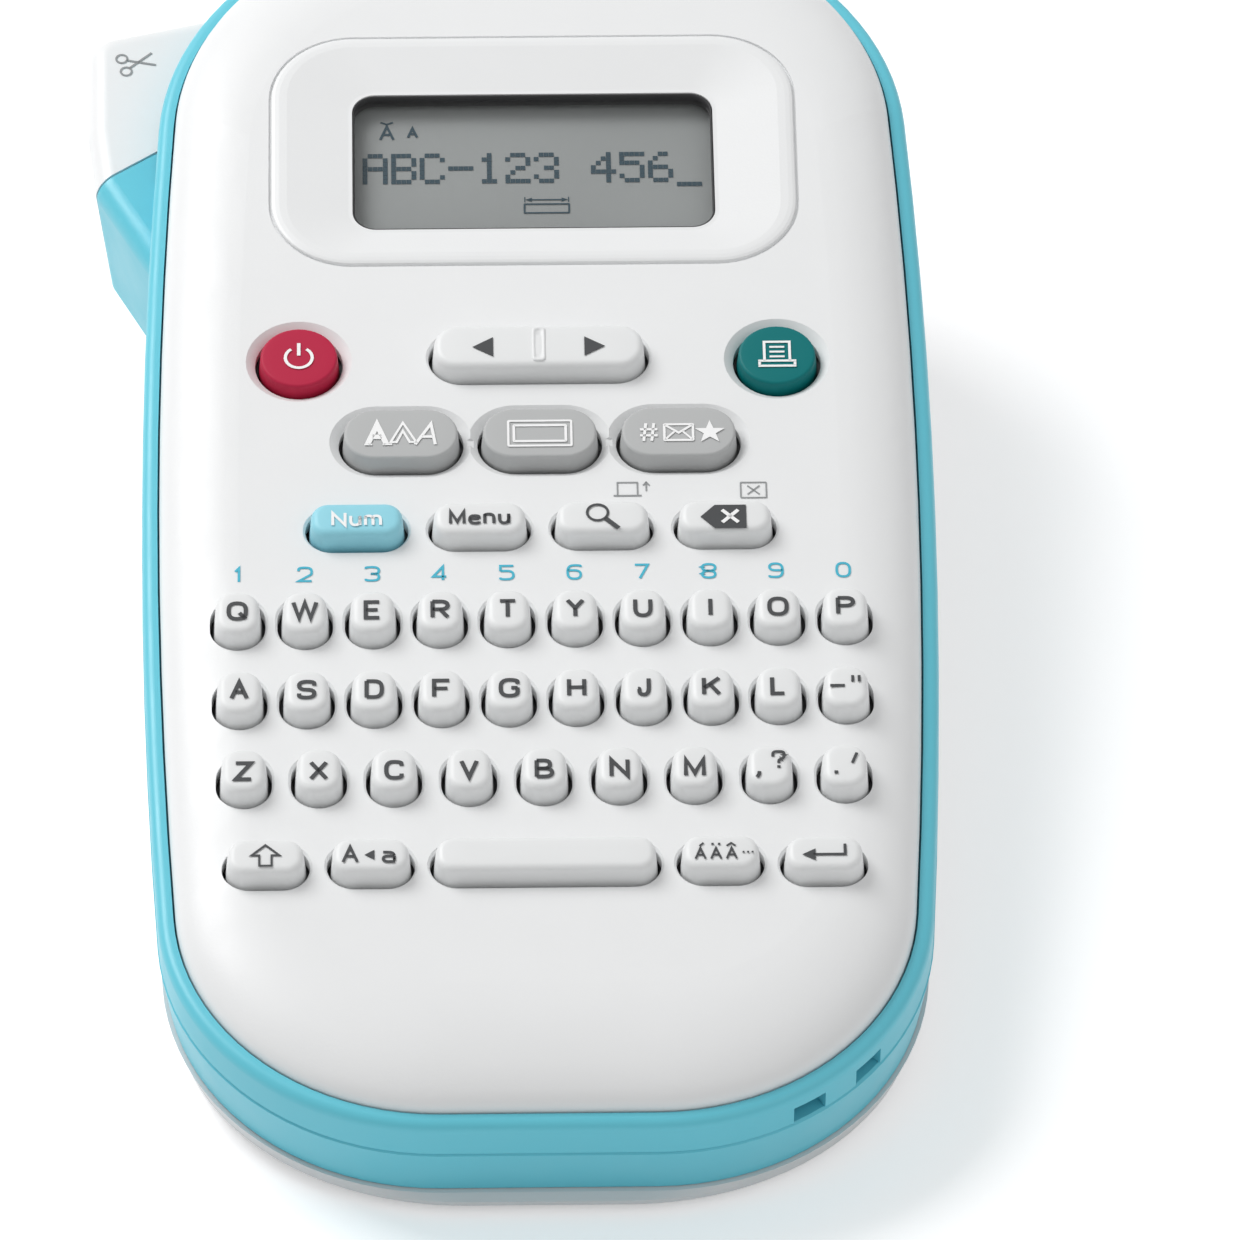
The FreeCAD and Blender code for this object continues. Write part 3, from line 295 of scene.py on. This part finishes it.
class Mark:
    """A flat mark of strokes, filled shapes and letters, in millimetres about its own centre."""

    def __init__(self):
        self.mesh = bmesh.new()

    def fill(self, points):
        corners = [self.mesh.verts.new((x, y, 0)) for x, y in points]
        self.mesh.faces.new(corners)
        return self

    def line(self, points, width, closed=False):
        """A stroke with mitred corners."""
        count = len(points)
        path = [Vector(p) for p in points]
        left, right = [], []
        for i, here in enumerate(path):
            before = path[(i - 1) % count] if closed or i else None
            after = path[(i + 1) % count] if closed or i < count - 1 else None
            ways = []
            if before is not None:
                ways.append((here - before).normalized())
            if after is not None:
                ways.append((after - here).normalized())
            along = sum(ways, Vector((0, 0))).normalized()
            across = Vector((-along.y, along.x))
            reach = width / 2 / max(0.35, abs(along.dot(ways[0])))
            left.append(self.mesh.verts.new((*(here + across * reach), 0)))
            right.append(self.mesh.verts.new((*(here - across * reach), 0)))
        for i in range(count if closed else count - 1):
            j = (i + 1) % count
            self.mesh.faces.new((left[i], right[i], right[j], left[j]))
        return self

    def print_on(self, name, node, colour, u, v, w=None, turn=0.0, onto=None, lift=0.05, flat=False):
        """Makes the piece at u, v on a CAD node.

        With onto, each point drops onto that surface. With flat as well, the mark lies level on its top.
        """
        bm = self.mesh
        bmesh.ops.remove_doubles(bm, verts=bm.verts, dist=0.002)
        bmesh.ops.recalc_face_normals(bm, faces=bm.faces)
        for face in bm.faces:
            if face.normal.z < 0:
                face.normal_flip()
        level = face_box(node)[1].z if w is None else w
        spin = Matrix.Rotation(math.radians(turn), 4, "Z")
        bmesh.ops.transform(bm, matrix=Matrix.Translation((u, v, 0)) @ spin, verts=bm.verts)
        if onto and flat:
            level = max(onto(vertex.co.x, vertex.co.y) for vertex in bm.verts) + 0.03
        for vertex in bm.verts:
            height = onto(vertex.co.x, vertex.co.y) if onto and not flat else level
            vertex.co.z = height + lift
        raised = bmesh.ops.extrude_face_region(bm, geom=bm.faces[:])
        for item in raised["geom"]:
            if isinstance(item, bmesh.types.BMVert):
                item.co.z += PRINT_THICK
        bmesh.ops.recalc_face_normals(bm, faces=bm.faces)
        bm.transform(FACE)
        data = bpy.data.meshes.new(name)
        bm.to_mesh(data)
        bm.free()
        piece = bpy.data.objects.new(name, data)
        bpy.context.collection.objects.link(piece)
        data.materials.append(INKS[colour])
        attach(piece, BODY_OF[node])
        return piece


def surface(data):
    """A function that gives the height of a mesh's outer surface over the point u, v."""
    bm = bmesh.new()
    bm.from_mesh(data)
    bm.transform(TO_FACE)
    tree = BVHTree.FromBMesh(bm)
    bm.free()

    def height(u, v):
        hit = tree.ray_cast(Vector((u, v, 60.0)), Vector((0, 0, -1)))
        return hit[0].z

    return height


COVER = surface(NODES["front_cover"].data)

# ---------------------------------------------------------------- key legends

WIDE_SPACE = 0.16
LETTER_HEIGHT = 3.05
LETTER_WEIGHT = 0.52
SMALL_HEIGHT = 2.25

# Each word is one stroke through points of an 8 by 8 grid. A tilde marks round corners, and an o a closed
# stroke with round corners.
GLYPHS = {
    "A": "004880 2363", "B": "0008 ~08787404 ~04848000", "C": "~868808008082", "D": "0008 ~08888000",
    "E": "80000888 0474", "F": "000888 0474", "G": "~868808008084 8454", "H": "0008 8088 0484", "I": "4048",
    "J": "~7870101303", "K": "0008 8803 3580", "L": "080070", "M": "0008418880", "N": "00088088",
    "O": "o08888000", "P": "0008 ~08888404", "Q": "o08888000 5380", "R": "0008 ~08888404 4480",
    "S": "~8688080484800002", "T": "0888 4840", "U": "~08008088", "V": "084088", "W": "0820486088",
    "X": "0880 0088", "Y": "084488 4440", "Z": "08880080", "1": "265850", "2": "~06088884 840080",
    "3": "~0708888434 ~3484800001", "4": "60680282", "5": "880805 ~0585800001", "6": "~87880800808505",
    "7": "088830", "8": "o08888404 o04848000", "9": "~01008088080484", "0": "o08888000",
    "a": "~05858083 ~83030080", "e": "0383 ~838505008081", "m": "0006 ~04064640 ~44468680",
    "n": "0006 ~04068680", "u": "~06008086 8680",
}
GLYPH_WIDTH = {"I": 0.2, "M": 0.86, "W": 1.12, "O": 0.84, "Q": 0.84, "G": 0.82, "m": 0.95, "1": 0.55,
               "n": 0.58, "u": 0.58, "e": 0.60, "a": 0.58, "N": 0.78, "J": 0.6, "L": 0.66, "E": 0.66}


def soften(points, radius, closed=False):
    """Turns the corners of a path into smooth bends."""
    path = [Vector(p) for p in points]
    count = len(path)
    smooth = []
    for i, here in enumerate(path):
        if not closed and i in (0, count - 1):
            smooth.append(tuple(here))
            continue
        back, on = path[i - 1] - here, path[(i + 1) % count] - here
        start = here + back.normalized() * min(radius, back.length / 2)
        end = here + on.normalized() * min(radius, on.length / 2)
        for step in range(6):
            t = step / 5
            smooth.append(tuple(start * (1 - t) ** 2 + here * 2 * t * (1 - t) + end * t ** 2))
    return smooth


def glyph_width(letter, height):
    return GLYPH_WIDTH.get(letter, 0.74) * height


def word(mark, letters, height, x=0.0, y=0.0, weight=LETTER_WEIGHT, lean=0.0):
    """Adds letters of the given height to a mark, centred at x, y."""
    height = height - weight
    gap = weight + WIDE_SPACE * height
    wide = sum(glyph_width(c, height) for c in letters) + gap * (len(letters) - 1)
    left = x - wide / 2
    for letter in letters:
        width = glyph_width(letter, height)
        for stroke in GLYPHS[letter].split():
            digits = [int(c) / 8 for c in stroke.lstrip("~o")]
            points = [(left + a * width + lean * (b - 0.5) * height, y + (b - 0.5) * height)
                      for a, b in zip(digits[::2], digits[1::2])]
            closed = stroke[0] == "o"
            if stroke[0] in "~o":
                points = soften(points, height * 0.42, closed)
            mark.line([p for i, p in enumerate(points) if not i or p != points[i - 1]], weight, closed)
        left += width + gap
    return mark


CAP_TOPS = {}


def legend(node, mark, colour="dark_ink", x=0.0, rise=0.0, suffix=""):
    """Prints a mark on the top of a key's cap."""
    at = middle(node)
    name = f"legend_{node[4:]}{suffix}"
    mark.print_on(name, node, colour, at.x + x, at.y + rise, onto=CAP_TOPS[node], flat=True)


def label_letters():
    for letter in "qwertyuiopasdfghjklzxcvbnm":
        rise = -0.45 if letter in "zxcvbnm" else -0.1
        legend(f"key_{letter}", word(Mark(), letter.upper(), LETTER_HEIGHT), rise=rise)
    dash = Mark().line(((-2.0, -0.1), (-0.2, -0.1)), 0.42)
    dash.line(((0.8, 0.5), (0.8, 1.5)), 0.36).line(((1.6, 0.5), (1.6, 1.5)), 0.36)
    legend("key_dash", dash, rise=-0.1)
    comma = Mark().line(((-1.3, -0.9), (-1.35, -1.35), (-1.6, -1.8)), 0.46)
    comma.line(soften(((0.4, 1.4), (0.4, 2.2), (1.8, 2.2), (1.8, 1.2), (1.1, 0.9), (1.1, 0.4)), 0.5), 0.36)
    comma.line(((1.1, 0.0), (1.1, -0.35)), 0.4)
    legend("key_comma", comma, rise=-0.3)
    stop = Mark().line(((-1.1, -1.35), (-1.1, -0.9)), 0.46).line(((0.9, 0.3), (1.5, 1.9)), 0.36)
    legend("key_stop", stop, rise=-0.3)


def label_top_keys():
    power = Mark().line(arc(0, -0.2, 1.7, 125, 415), 0.40).line(((0, 0.15), (0, 2.2)), 0.44)
    legend("key_power", power, "white_ink", rise=0.0)
    page = Mark().line(((-1.6, -1.1), (-1.6, 2.1), (1.6, 2.1), (1.6, -1.1)), 0.34)
    for y in (-0.35, 0.45, 1.25):
        page.line(((-0.95, y), (0.95, y)), 0.30)
    page.line(((-2.4, -1.05), (2.4, -1.05)), 0.34).line(((-2.4, -1.9), (2.4, -1.9)), 0.34)
    page.line(((-2.23, -1.1), (-2.23, -1.85)), 0.34).line(((2.23, -1.1), (2.23, -1.85)), 0.34)
    legend("key_print", page, "white_ink", rise=-0.15)
    for name, way in (("_left", -1), ("_right", 1)):
        arrow = Mark().fill([(way * 1.35, 0), (-way * 1.25, 1.6), (-way * 1.25, -1.6)])
        legend("key_cursor", arrow, "dark_ink", way * 7.0, -0.45, name)


def label_style_keys():
    styles = word(Mark(), "A", 3.9, -3.0, 0, 0.72)
    styles.line(((-4.6, -1.65), (-3.6, -1.65)), 0.24).line(((-2.3, -1.65), (-1.1, -1.65)), 0.24)
    hollow = ((-1.3, -1.3), (0.25, 1.9), (1.9, -1.3), (1.1, -1.3), (0.25, 0.55), (-0.55, -1.3))
    styles.line(hollow, 0.30, True)
    word(styles, "A", 3.8, 3.4, 0, 0.40, 0.22)
    legend("key_text_style", styles, "white_ink", rise=-0.3)
    frame_mark = Mark().line(rounded(0, 0, 7.9, 4.1, 0.15), 0.30, True)
    frame_mark.line(rounded(0, 0, 6.5, 2.6, 0.1), 0.34, True)
    legend("key_border", frame_mark, "white_ink", rise=-0.3)
    symbols = Mark()
    for step in (-0.5, 0.5):
        symbols.line(((-3.75 + step - 0.15, -1.4), (-3.75 + step + 0.15, 1.5)), 0.36)
        symbols.line(((-4.85, step), (-2.65, step)), 0.36)
    symbols.line(rounded(0, 0, 3.6, 2.6, 0.1), 0.32, True)
    symbols.line(((-1.7, 1.2), (0, -0.1), (1.7, 1.2)), 0.30)
    symbols.line(((-1.7, -1.2), (-0.5, 0.15)), 0.26).line(((1.7, -1.2), (0.5, 0.15)), 0.26)
    spokes = [(90 + 36 * i, 1.95 if i % 2 == 0 else 0.78) for i in range(10)]
    star = [(3.9 + r * math.cos(math.radians(a)), r * math.sin(math.radians(a))) for a, r in spokes]
    for i in range(0, 10, 2):
        symbols.fill([(3.9, 0), star[i - 1], star[i], star[(i + 1) % 10]])
    legend("key_symbols", symbols, "white_ink", rise=-0.35)


def label_function_keys():
    legend("key_numbers", word(Mark(), "Num", SMALL_HEIGHT + 0.1, weight=0.38), "white_ink", rise=-0.35)
    legend("key_menu", word(Mark(), "Menu", SMALL_HEIGHT + 0.1, weight=0.40), rise=-0.2)
    lens = Mark().line(arc(-0.6, 0.6, 1.3, 0, 360)[:-1], 0.32, True)
    lens.line(((0.35, -0.35), (2.0, -2.0)), 0.62)
    legend("key_preview", lens, rise=-0.2)
    tag = [(-3.1, 0), (-1.3, 1.9), (2.6, 1.9), (2.6, -1.9), (-1.3, -1.9)]
    legend("key_erase", Mark().fill(tag), rise=-0.45)
    cross = Mark().line(((-0.4, 1.0), (1.6, -1.0)), 0.48).line(((-0.4, -1.0), (1.6, 1.0)), 0.48)
    at = middle("key_erase")
    cross.print_on("legend_erase_cross", "key_erase", "white_ink", at.x, at.y - 0.45,
                   onto=CAP_TOPS["key_erase"], lift=0.11, flat=True)


def label_bottom_keys():
    up = [(0, 1.7), (1.7, 0.1), (0.75, 0.1), (0.75, -1.5), (-0.75, -1.5), (-0.75, 0.1), (-1.7, 0.1)]
    legend("key_shift", Mark().line(up, 0.26, True), rise=-0.3)
    case = word(Mark(), "A", 2.7, -2.5, 0, 0.36)
    case.fill([(-0.75, -0.1), (0.45, 0.65), (0.45, -0.85)])
    word(case, "a", 2.7, 2.2, 0, 0.36)
    legend("key_capitals", case, rise=-0.25)
    accents = Mark()
    for i in range(3):
        word(accents, "A", 1.9, -2.5 + 1.9 * i, -0.2, 0.26)
    accents.line(((-2.6, 0.95), (-2.1, 1.45)), 0.22)
    accents.line(((-1.0, 1.1), (-1.0, 1.4)), 0.3).line(((-0.2, 1.1), (-0.2, 1.4)), 0.3)
    accents.line(((0.7, 0.95), (1.25, 1.4), (1.8, 0.95)), 0.22)
    for i in range(3):
        accents.line(((2.75 + 0.55 * i, -0.15), (2.75 + 0.55 * i, 0.1)), 0.26)
    legend("key_accents", accents, rise=-0.4)
    back = Mark().line(((2.5, 1.3), (2.5, -0.3), (-1.4, -0.3)), 0.36)
    back.fill([(-2.7, -0.3), (-1.1, 0.6), (-1.1, -1.2)])
    legend("key_enter", back, rise=-0.3)


def label_cover():
    """The digits over the top row of letters, and the two second-function marks."""
    for i, digit in enumerate("1234567890"):
        u = (i - 4.5) * DIGIT_PITCH
        word(Mark(), digit, 2.5, weight=0.32).print_on(
            f"digit_{digit}", "front_cover", "blue_ink", u, DIGIT_V, onto=COVER)
    feed = Mark().line(((-1.5, -0.9), (-1.5, 1.2), (1.0, 1.2), (1.0, -0.9)), 0.18)
    feed.line(((-2.0, -0.95), (1.5, -0.95)), 0.22)
    feed.line(((2.1, -0.2), (2.1, 1.2)), 0.18).line(((1.7, 0.7), (2.1, 1.25), (2.5, 0.7)), 0.18)
    feed.print_on("mark_feed", "front_cover", "pale_ink", 11.3, -4.4, onto=COVER)
    clear = Mark().line(rounded(0, 0, 3.2, 2.5, 0.1), 0.18, True)
    clear.line(((-0.75, 0.7), (0.75, -0.7)), 0.18).line(((-0.75, -0.7), (0.75, 0.7)), 0.18)
    clear.print_on("mark_clear", "front_cover", "pale_ink", 26.8, -4.6, onto=COVER)


def label_lever():
    """The scissors that mark the cutter lever."""
    cut = Mark()
    for way in (-1, 1):
        cut.line(arc(1.6, way * 1.15, 0.72, 0, 360)[:-1], 0.26, True)
        cut.line(((1.05, way * 0.72), (-2.4, -way * 1.1)), 0.30)
    top = surface(NODES["cutter_lever"].data)
    cut.print_on("mark_scissors", "cutter_lever", "pale_ink", -51.3, 79.3, turn=195, onto=top)


# ---------------------------------------------------------------- display

DOT_WIDTH, DOT_HEIGHT, DOT_FILL = 0.65, 0.75, 0.94
CELL_PITCH = 3.66
DOTS = {
    "A": "01110 10001 10001 11111 10001 10001 10001",
    "B": "11110 10001 10001 11110 10001 10001 11110",
    "C": "01110 10001 10000 10000 10000 10001 01110",
    "-": "00000 00000 00000 11111 00000 00000 00000",
    "1": "00100 01100 00100 00100 00100 00100 01110",
    "2": "01110 10001 00001 00110 01000 10000 11111",
    "3": "01110 10001 00001 00110 00001 10001 01110",
    "4": "00010 00110 01010 10010 11111 00010 00010",
    "5": "11111 10000 11110 00001 00001 10001 01110",
    "6": "00110 01000 10000 11110 10001 10001 01110",
}
DISPLAY_TEXT = "ABC-123 456"


def display_line():
    """Twelve cells of five by seven dots: a sample line and the cursor."""
    mark = Mark()
    a, b = DOT_WIDTH * DOT_FILL / 2, DOT_HEIGHT * DOT_FILL / 2
    dots = []
    for i, letter in enumerate(DISPLAY_TEXT):
        for row, bits in enumerate(DOTS.get(letter, "").split()):
            dots += [(i, column, row) for column in range(5) if bits[column] == "1"]
    dots += [(len(DISPLAY_TEXT), column, 7) for column in range(5)]
    for i, column, row in dots:
        x = (i - len(DISPLAY_TEXT) / 2) * CELL_PITCH + (column - 2) * DOT_WIDTH
        y = (3 - row) * DOT_HEIGHT
        mark.fill([(x - a, y - b), (x + a, y - b), (x + a, y + b), (x - a, y + b)])
    return mark


def label_display():
    at = middle("display_module")
    line_v = at.y + 1.3
    display_line().print_on("display_line", "display_module", "lcd_dark", at.x - 0.1, line_v)
    for i, (u, tall) in enumerate(((-18.7, 2.6), (-15.4, 1.9))):
        sign = word(Mark(), "A", tall, weight=0.34)
        if i == 0:
            sign.line(((-0.8, 1.85), (0, 1.5), (0.8, 1.85)), 0.24)
        sign.print_on(f"display_sign_{i}", "display_module", "lcd_dark", u, line_v + 6.2)
    tape = Mark().line(rounded(0, 0, 5.7, 1.5, 0.05), 0.24, True)
    tape.line(((-2.5, 1.5), (2.5, 1.5)), 0.2)
    for way in (-1, 1):
        tape.line(((way * 2.8, 1.1), (way * 2.8, 1.95)), 0.14)
        tape.fill([(way * 2.7, 1.5), (way * 1.9, 1.85), (way * 1.9, 1.15)])
    tape.print_on("display_tape", "display_module", "lcd_dark", 1.7, line_v - 7.0)


# ---------------------------------------------------------------- meshes


def make_piece(name, bm, skin, node):
    """Turns a mesh in the face frame into a piece that rides with a CAD node."""
    bmesh.ops.recalc_face_normals(bm, faces=bm.faces)
    bm.transform(FACE)
    data = bpy.data.meshes.new(name)
    bm.to_mesh(data)
    bm.free()
    data.polygons.foreach_set("use_smooth", [True] * len(data.polygons))
    data.materials.append(SKINS[skin])
    piece = bpy.data.objects.new(name, data)
    bpy.context.collection.objects.link(piece)
    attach(piece, BODY_OF[node])
    return piece


def outline(cx, cy, width, height, radius):
    """A rounded rectangle of a fixed number of evenly shared points."""
    radius = min(radius, width / 2 - 0.01, height / 2 - 0.01)
    a, b = width / 2 - radius, height / 2 - radius
    points = []
    for i, (sx, sy) in enumerate(((1, 1), (-1, 1), (-1, -1), (1, -1))):
        points += arc(cx + sx * a, cy + sy * b, radius, 90 * i, 90 * i + 90, 10)
    return points


def loft(rings, open_ends=False):
    """A skin through rings of equally many points, closed by a face at each end."""
    bm = bmesh.new()
    rows = [[bm.verts.new(p) for p in ring] for ring in rings]
    count = len(rows[0])
    for low, high in zip(rows, rows[1:]):
        for i in range(count):
            j = (i + 1) % count
            bm.faces.new((low[i], low[j], high[j], high[i]))
    if open_ends:
        for i in range(count):
            j = (i + 1) % count
            bm.faces.new((rows[-1][i], rows[-1][j], rows[0][j], rows[0][i]))
    else:
        bm.faces.new(rows[0][::-1])
        bm.faces.new(rows[-1])
    return bm


FLANGE = 0.7
DRAFT = math.tan(math.radians(4.0))
SOFT_SLOTS = ("key_soft", "key_blue")


def key_cap(node):
    """A moulded key cap: drafted walls, a rolled edge and a faintly crowned top."""
    low, high = face_box(node)
    slot = SLOTS[node]
    soft = slot in SOFT_SLOTS
    at = (low + high) / 2
    width, height = high.x - low.x - 2 * FLANGE, high.y - low.y - 2 * FLANGE
    corner = min(width, height) / 2 - (0.45 if soft else 0.15)
    if slot in ("key_red", "key_green"):
        corner = width / 2
    roll = 1.0 if soft else 0.4
    crown = 0.05
    base, top = low.z + FLANGE, high.z - crown
    lean = DRAFT * (top - roll - base) + 0.05
    sections = [(0.0, base), (lean * 0.5, (base + top - roll) / 2), (lean, top - roll)]
    for step in range(1, 8):
        angle = math.pi / 2 * step / 7
        sections.append((lean + roll * (1 - math.cos(angle)), top - roll + roll * math.sin(angle)))
    rings = []
    for inset, level in sections:
        ring = outline(at.x, at.y, width - 2 * inset, height - 2 * inset, corner - inset)
        rings.append([(x, y, level) for x, y in ring])
    for shrink in (0.75, 0.45, 0.15):
        level = top + crown * (1 - shrink ** 2)
        inner = [(at.x + (x - at.x) * shrink, at.y + (y - at.y) * shrink) for x, y, z in rings[9]]
        rings.append([(x, y, level) for x, y in inner])
    cap = make_piece(f"cap_{node[4:]}", loft(rings), slot, node)
    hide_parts(node)
    CAP_TOPS[node] = surface(cap.data)


def cursor_groove():
    """The upright groove between the arrows: a low ridge round a shallow slot."""
    at, top = middle("key_cursor"), face_box("key_cursor")[1].z
    rings = []
    for inset, level in ((0.0, -0.25), (0.0, 0.04), (0.12, 0.16), (0.3, 0.14), (0.42, 0.02), (0.5, -0.02)):
        ring = outline(at.x, at.y, 1.7 - 2 * inset, 5.6 - 2 * inset, 0.5)
        rings.append([(x, y, top + level) for x, y in ring])
    make_piece("cursor_groove", loft(rings), "key_soft", "key_cursor")


def display_mask_painted_shade():
    """The dark seal between the window's edge and the lens, lining the window's wall: partly a real black mask,
    partly painted shade standing in for the shadow in the recess.
    """
    at = middle("display_window")
    top = face_box("display_window")[1].z
    size_u, size_v, radius = 46.2, 23.1, 2.95
    rings = []
    for inset, level in ((0.0, 0.02), (0.0, 1.75), (0.25, 1.75), (0.25, 0.02)):
        ring = outline(at.x, at.y, size_u - 2 * inset, size_v - 2 * inset, radius - inset)
        rings.append([(x, y, top + level) for x, y in ring])
    # the black rubber lining paints the recess shade on the window wall, on top of the real dark mask
    make_piece("display_mask_painted_shade", loft(rings, True), "black_rubber", "front_cover")


for node_name in SLOTS:
    if node_name.startswith("key_") and node_name != "key_mat":
        key_cap(node_name)
cursor_groove()
display_mask_painted_shade()
label_letters()
label_top_keys()
label_style_keys()
label_function_keys()
label_bottom_keys()
label_cover()
label_lever()
label_display()


def build_camera():
    """The photograph's view: nearly square on, looking down at forty degrees, from far off."""
    azimuth, elevation, distance = math.radians(-0.8), math.radians(40.0), 1.5
    target = Vector((0.0, -0.01477, 0.0273))
    back = Vector((math.sin(azimuth) * math.cos(elevation), -math.cos(azimuth) * math.cos(elevation),
                   math.sin(elevation)))
    data = bpy.data.cameras.new("camera")
    data.sensor_width = 36.0
    data.lens = 348.4
    data.shift_x = 0.0645
    data.shift_y = -0.0161
    data.clip_end = 20.0
    camera = bpy.data.objects.new("camera", data)
    camera.location = target + back * distance
    camera.rotation_euler = (-back).to_track_quat("-Z", "Y").to_euler()
    bpy.context.collection.objects.link(camera)
    bpy.context.scene.camera = camera


def build_floor():
    """A pale floor that keeps the shadow, with an even glow that camera and glossy rays see."""
    bpy.ops.mesh.primitive_plane_add(size=8.0)
    floor = bpy.context.object
    floor.name = "floor"
    material, tree, shader = new_material("floor")
    shader.inputs["Base Color"].default_value = (0.93, 0.93, 0.935, 1)
    shader.inputs["Roughness"].default_value = 0.9
    shader.inputs["Specular IOR Level"].default_value = 0.0
    path = tree.nodes.new("ShaderNodeLightPath")
    seen = tree.nodes.new("ShaderNodeMath")
    seen.operation = "MAXIMUM"
    tree.links.new(path.outputs["Is Camera Ray"], seen.inputs[0])
    tree.links.new(path.outputs["Is Glossy Ray"], seen.inputs[1])
    glow = tree.nodes.new("ShaderNodeMath")
    glow.operation = "MULTIPLY"
    glow.inputs[1].default_value = 0.32
    tree.links.new(seen.outputs[0], glow.inputs[0])
    tree.links.new(glow.outputs[0], shader.inputs["Emission Strength"])
    shader.inputs["Emission Color"].default_value = (1, 1, 1, 1)
    floor.data.materials.append(material)


def build_world():
    world = bpy.data.worlds.new("studio")
    bpy.context.scene.world = world
    world.use_nodes = True
    tree = world.node_tree
    background = tree.nodes["Background"]
    background.inputs["Color"].default_value = (1.0, 1.0, 1.0, 1)
    path = tree.nodes.new("ShaderNodeLightPath")
    strength = tree.nodes.new("ShaderNodeMapRange")
    strength.inputs["To Min"].default_value = 0.50
    strength.inputs["To Max"].default_value = 1.0
    tree.links.new(path.outputs["Is Camera Ray"], strength.inputs["Value"])
    tree.links.new(strength.outputs["Result"], background.inputs["Strength"])


def add_lamp(name, place, power, size):
    data = bpy.data.lights.new(name, "AREA")
    data.energy = power
    data.shape = "SQUARE"
    data.size = size
    lamp = bpy.data.objects.new(name, data)
    lamp.location = place
    lamp.rotation_euler = (Vector((0, 0, 0.03)) - lamp.location).to_track_quat("-Z", "Y").to_euler()
    bpy.context.collection.objects.link(lamp)


build_camera()
build_floor()
build_world()
add_lamp("key_lamp", (-0.9, 0.7, 1.3), 19.0, 0.9)
add_lamp("fill_lamp", (0.9, -0.9, 1.2), 2.0, 1.0)

bpy.context.scene.view_settings.view_transform = "Standard"
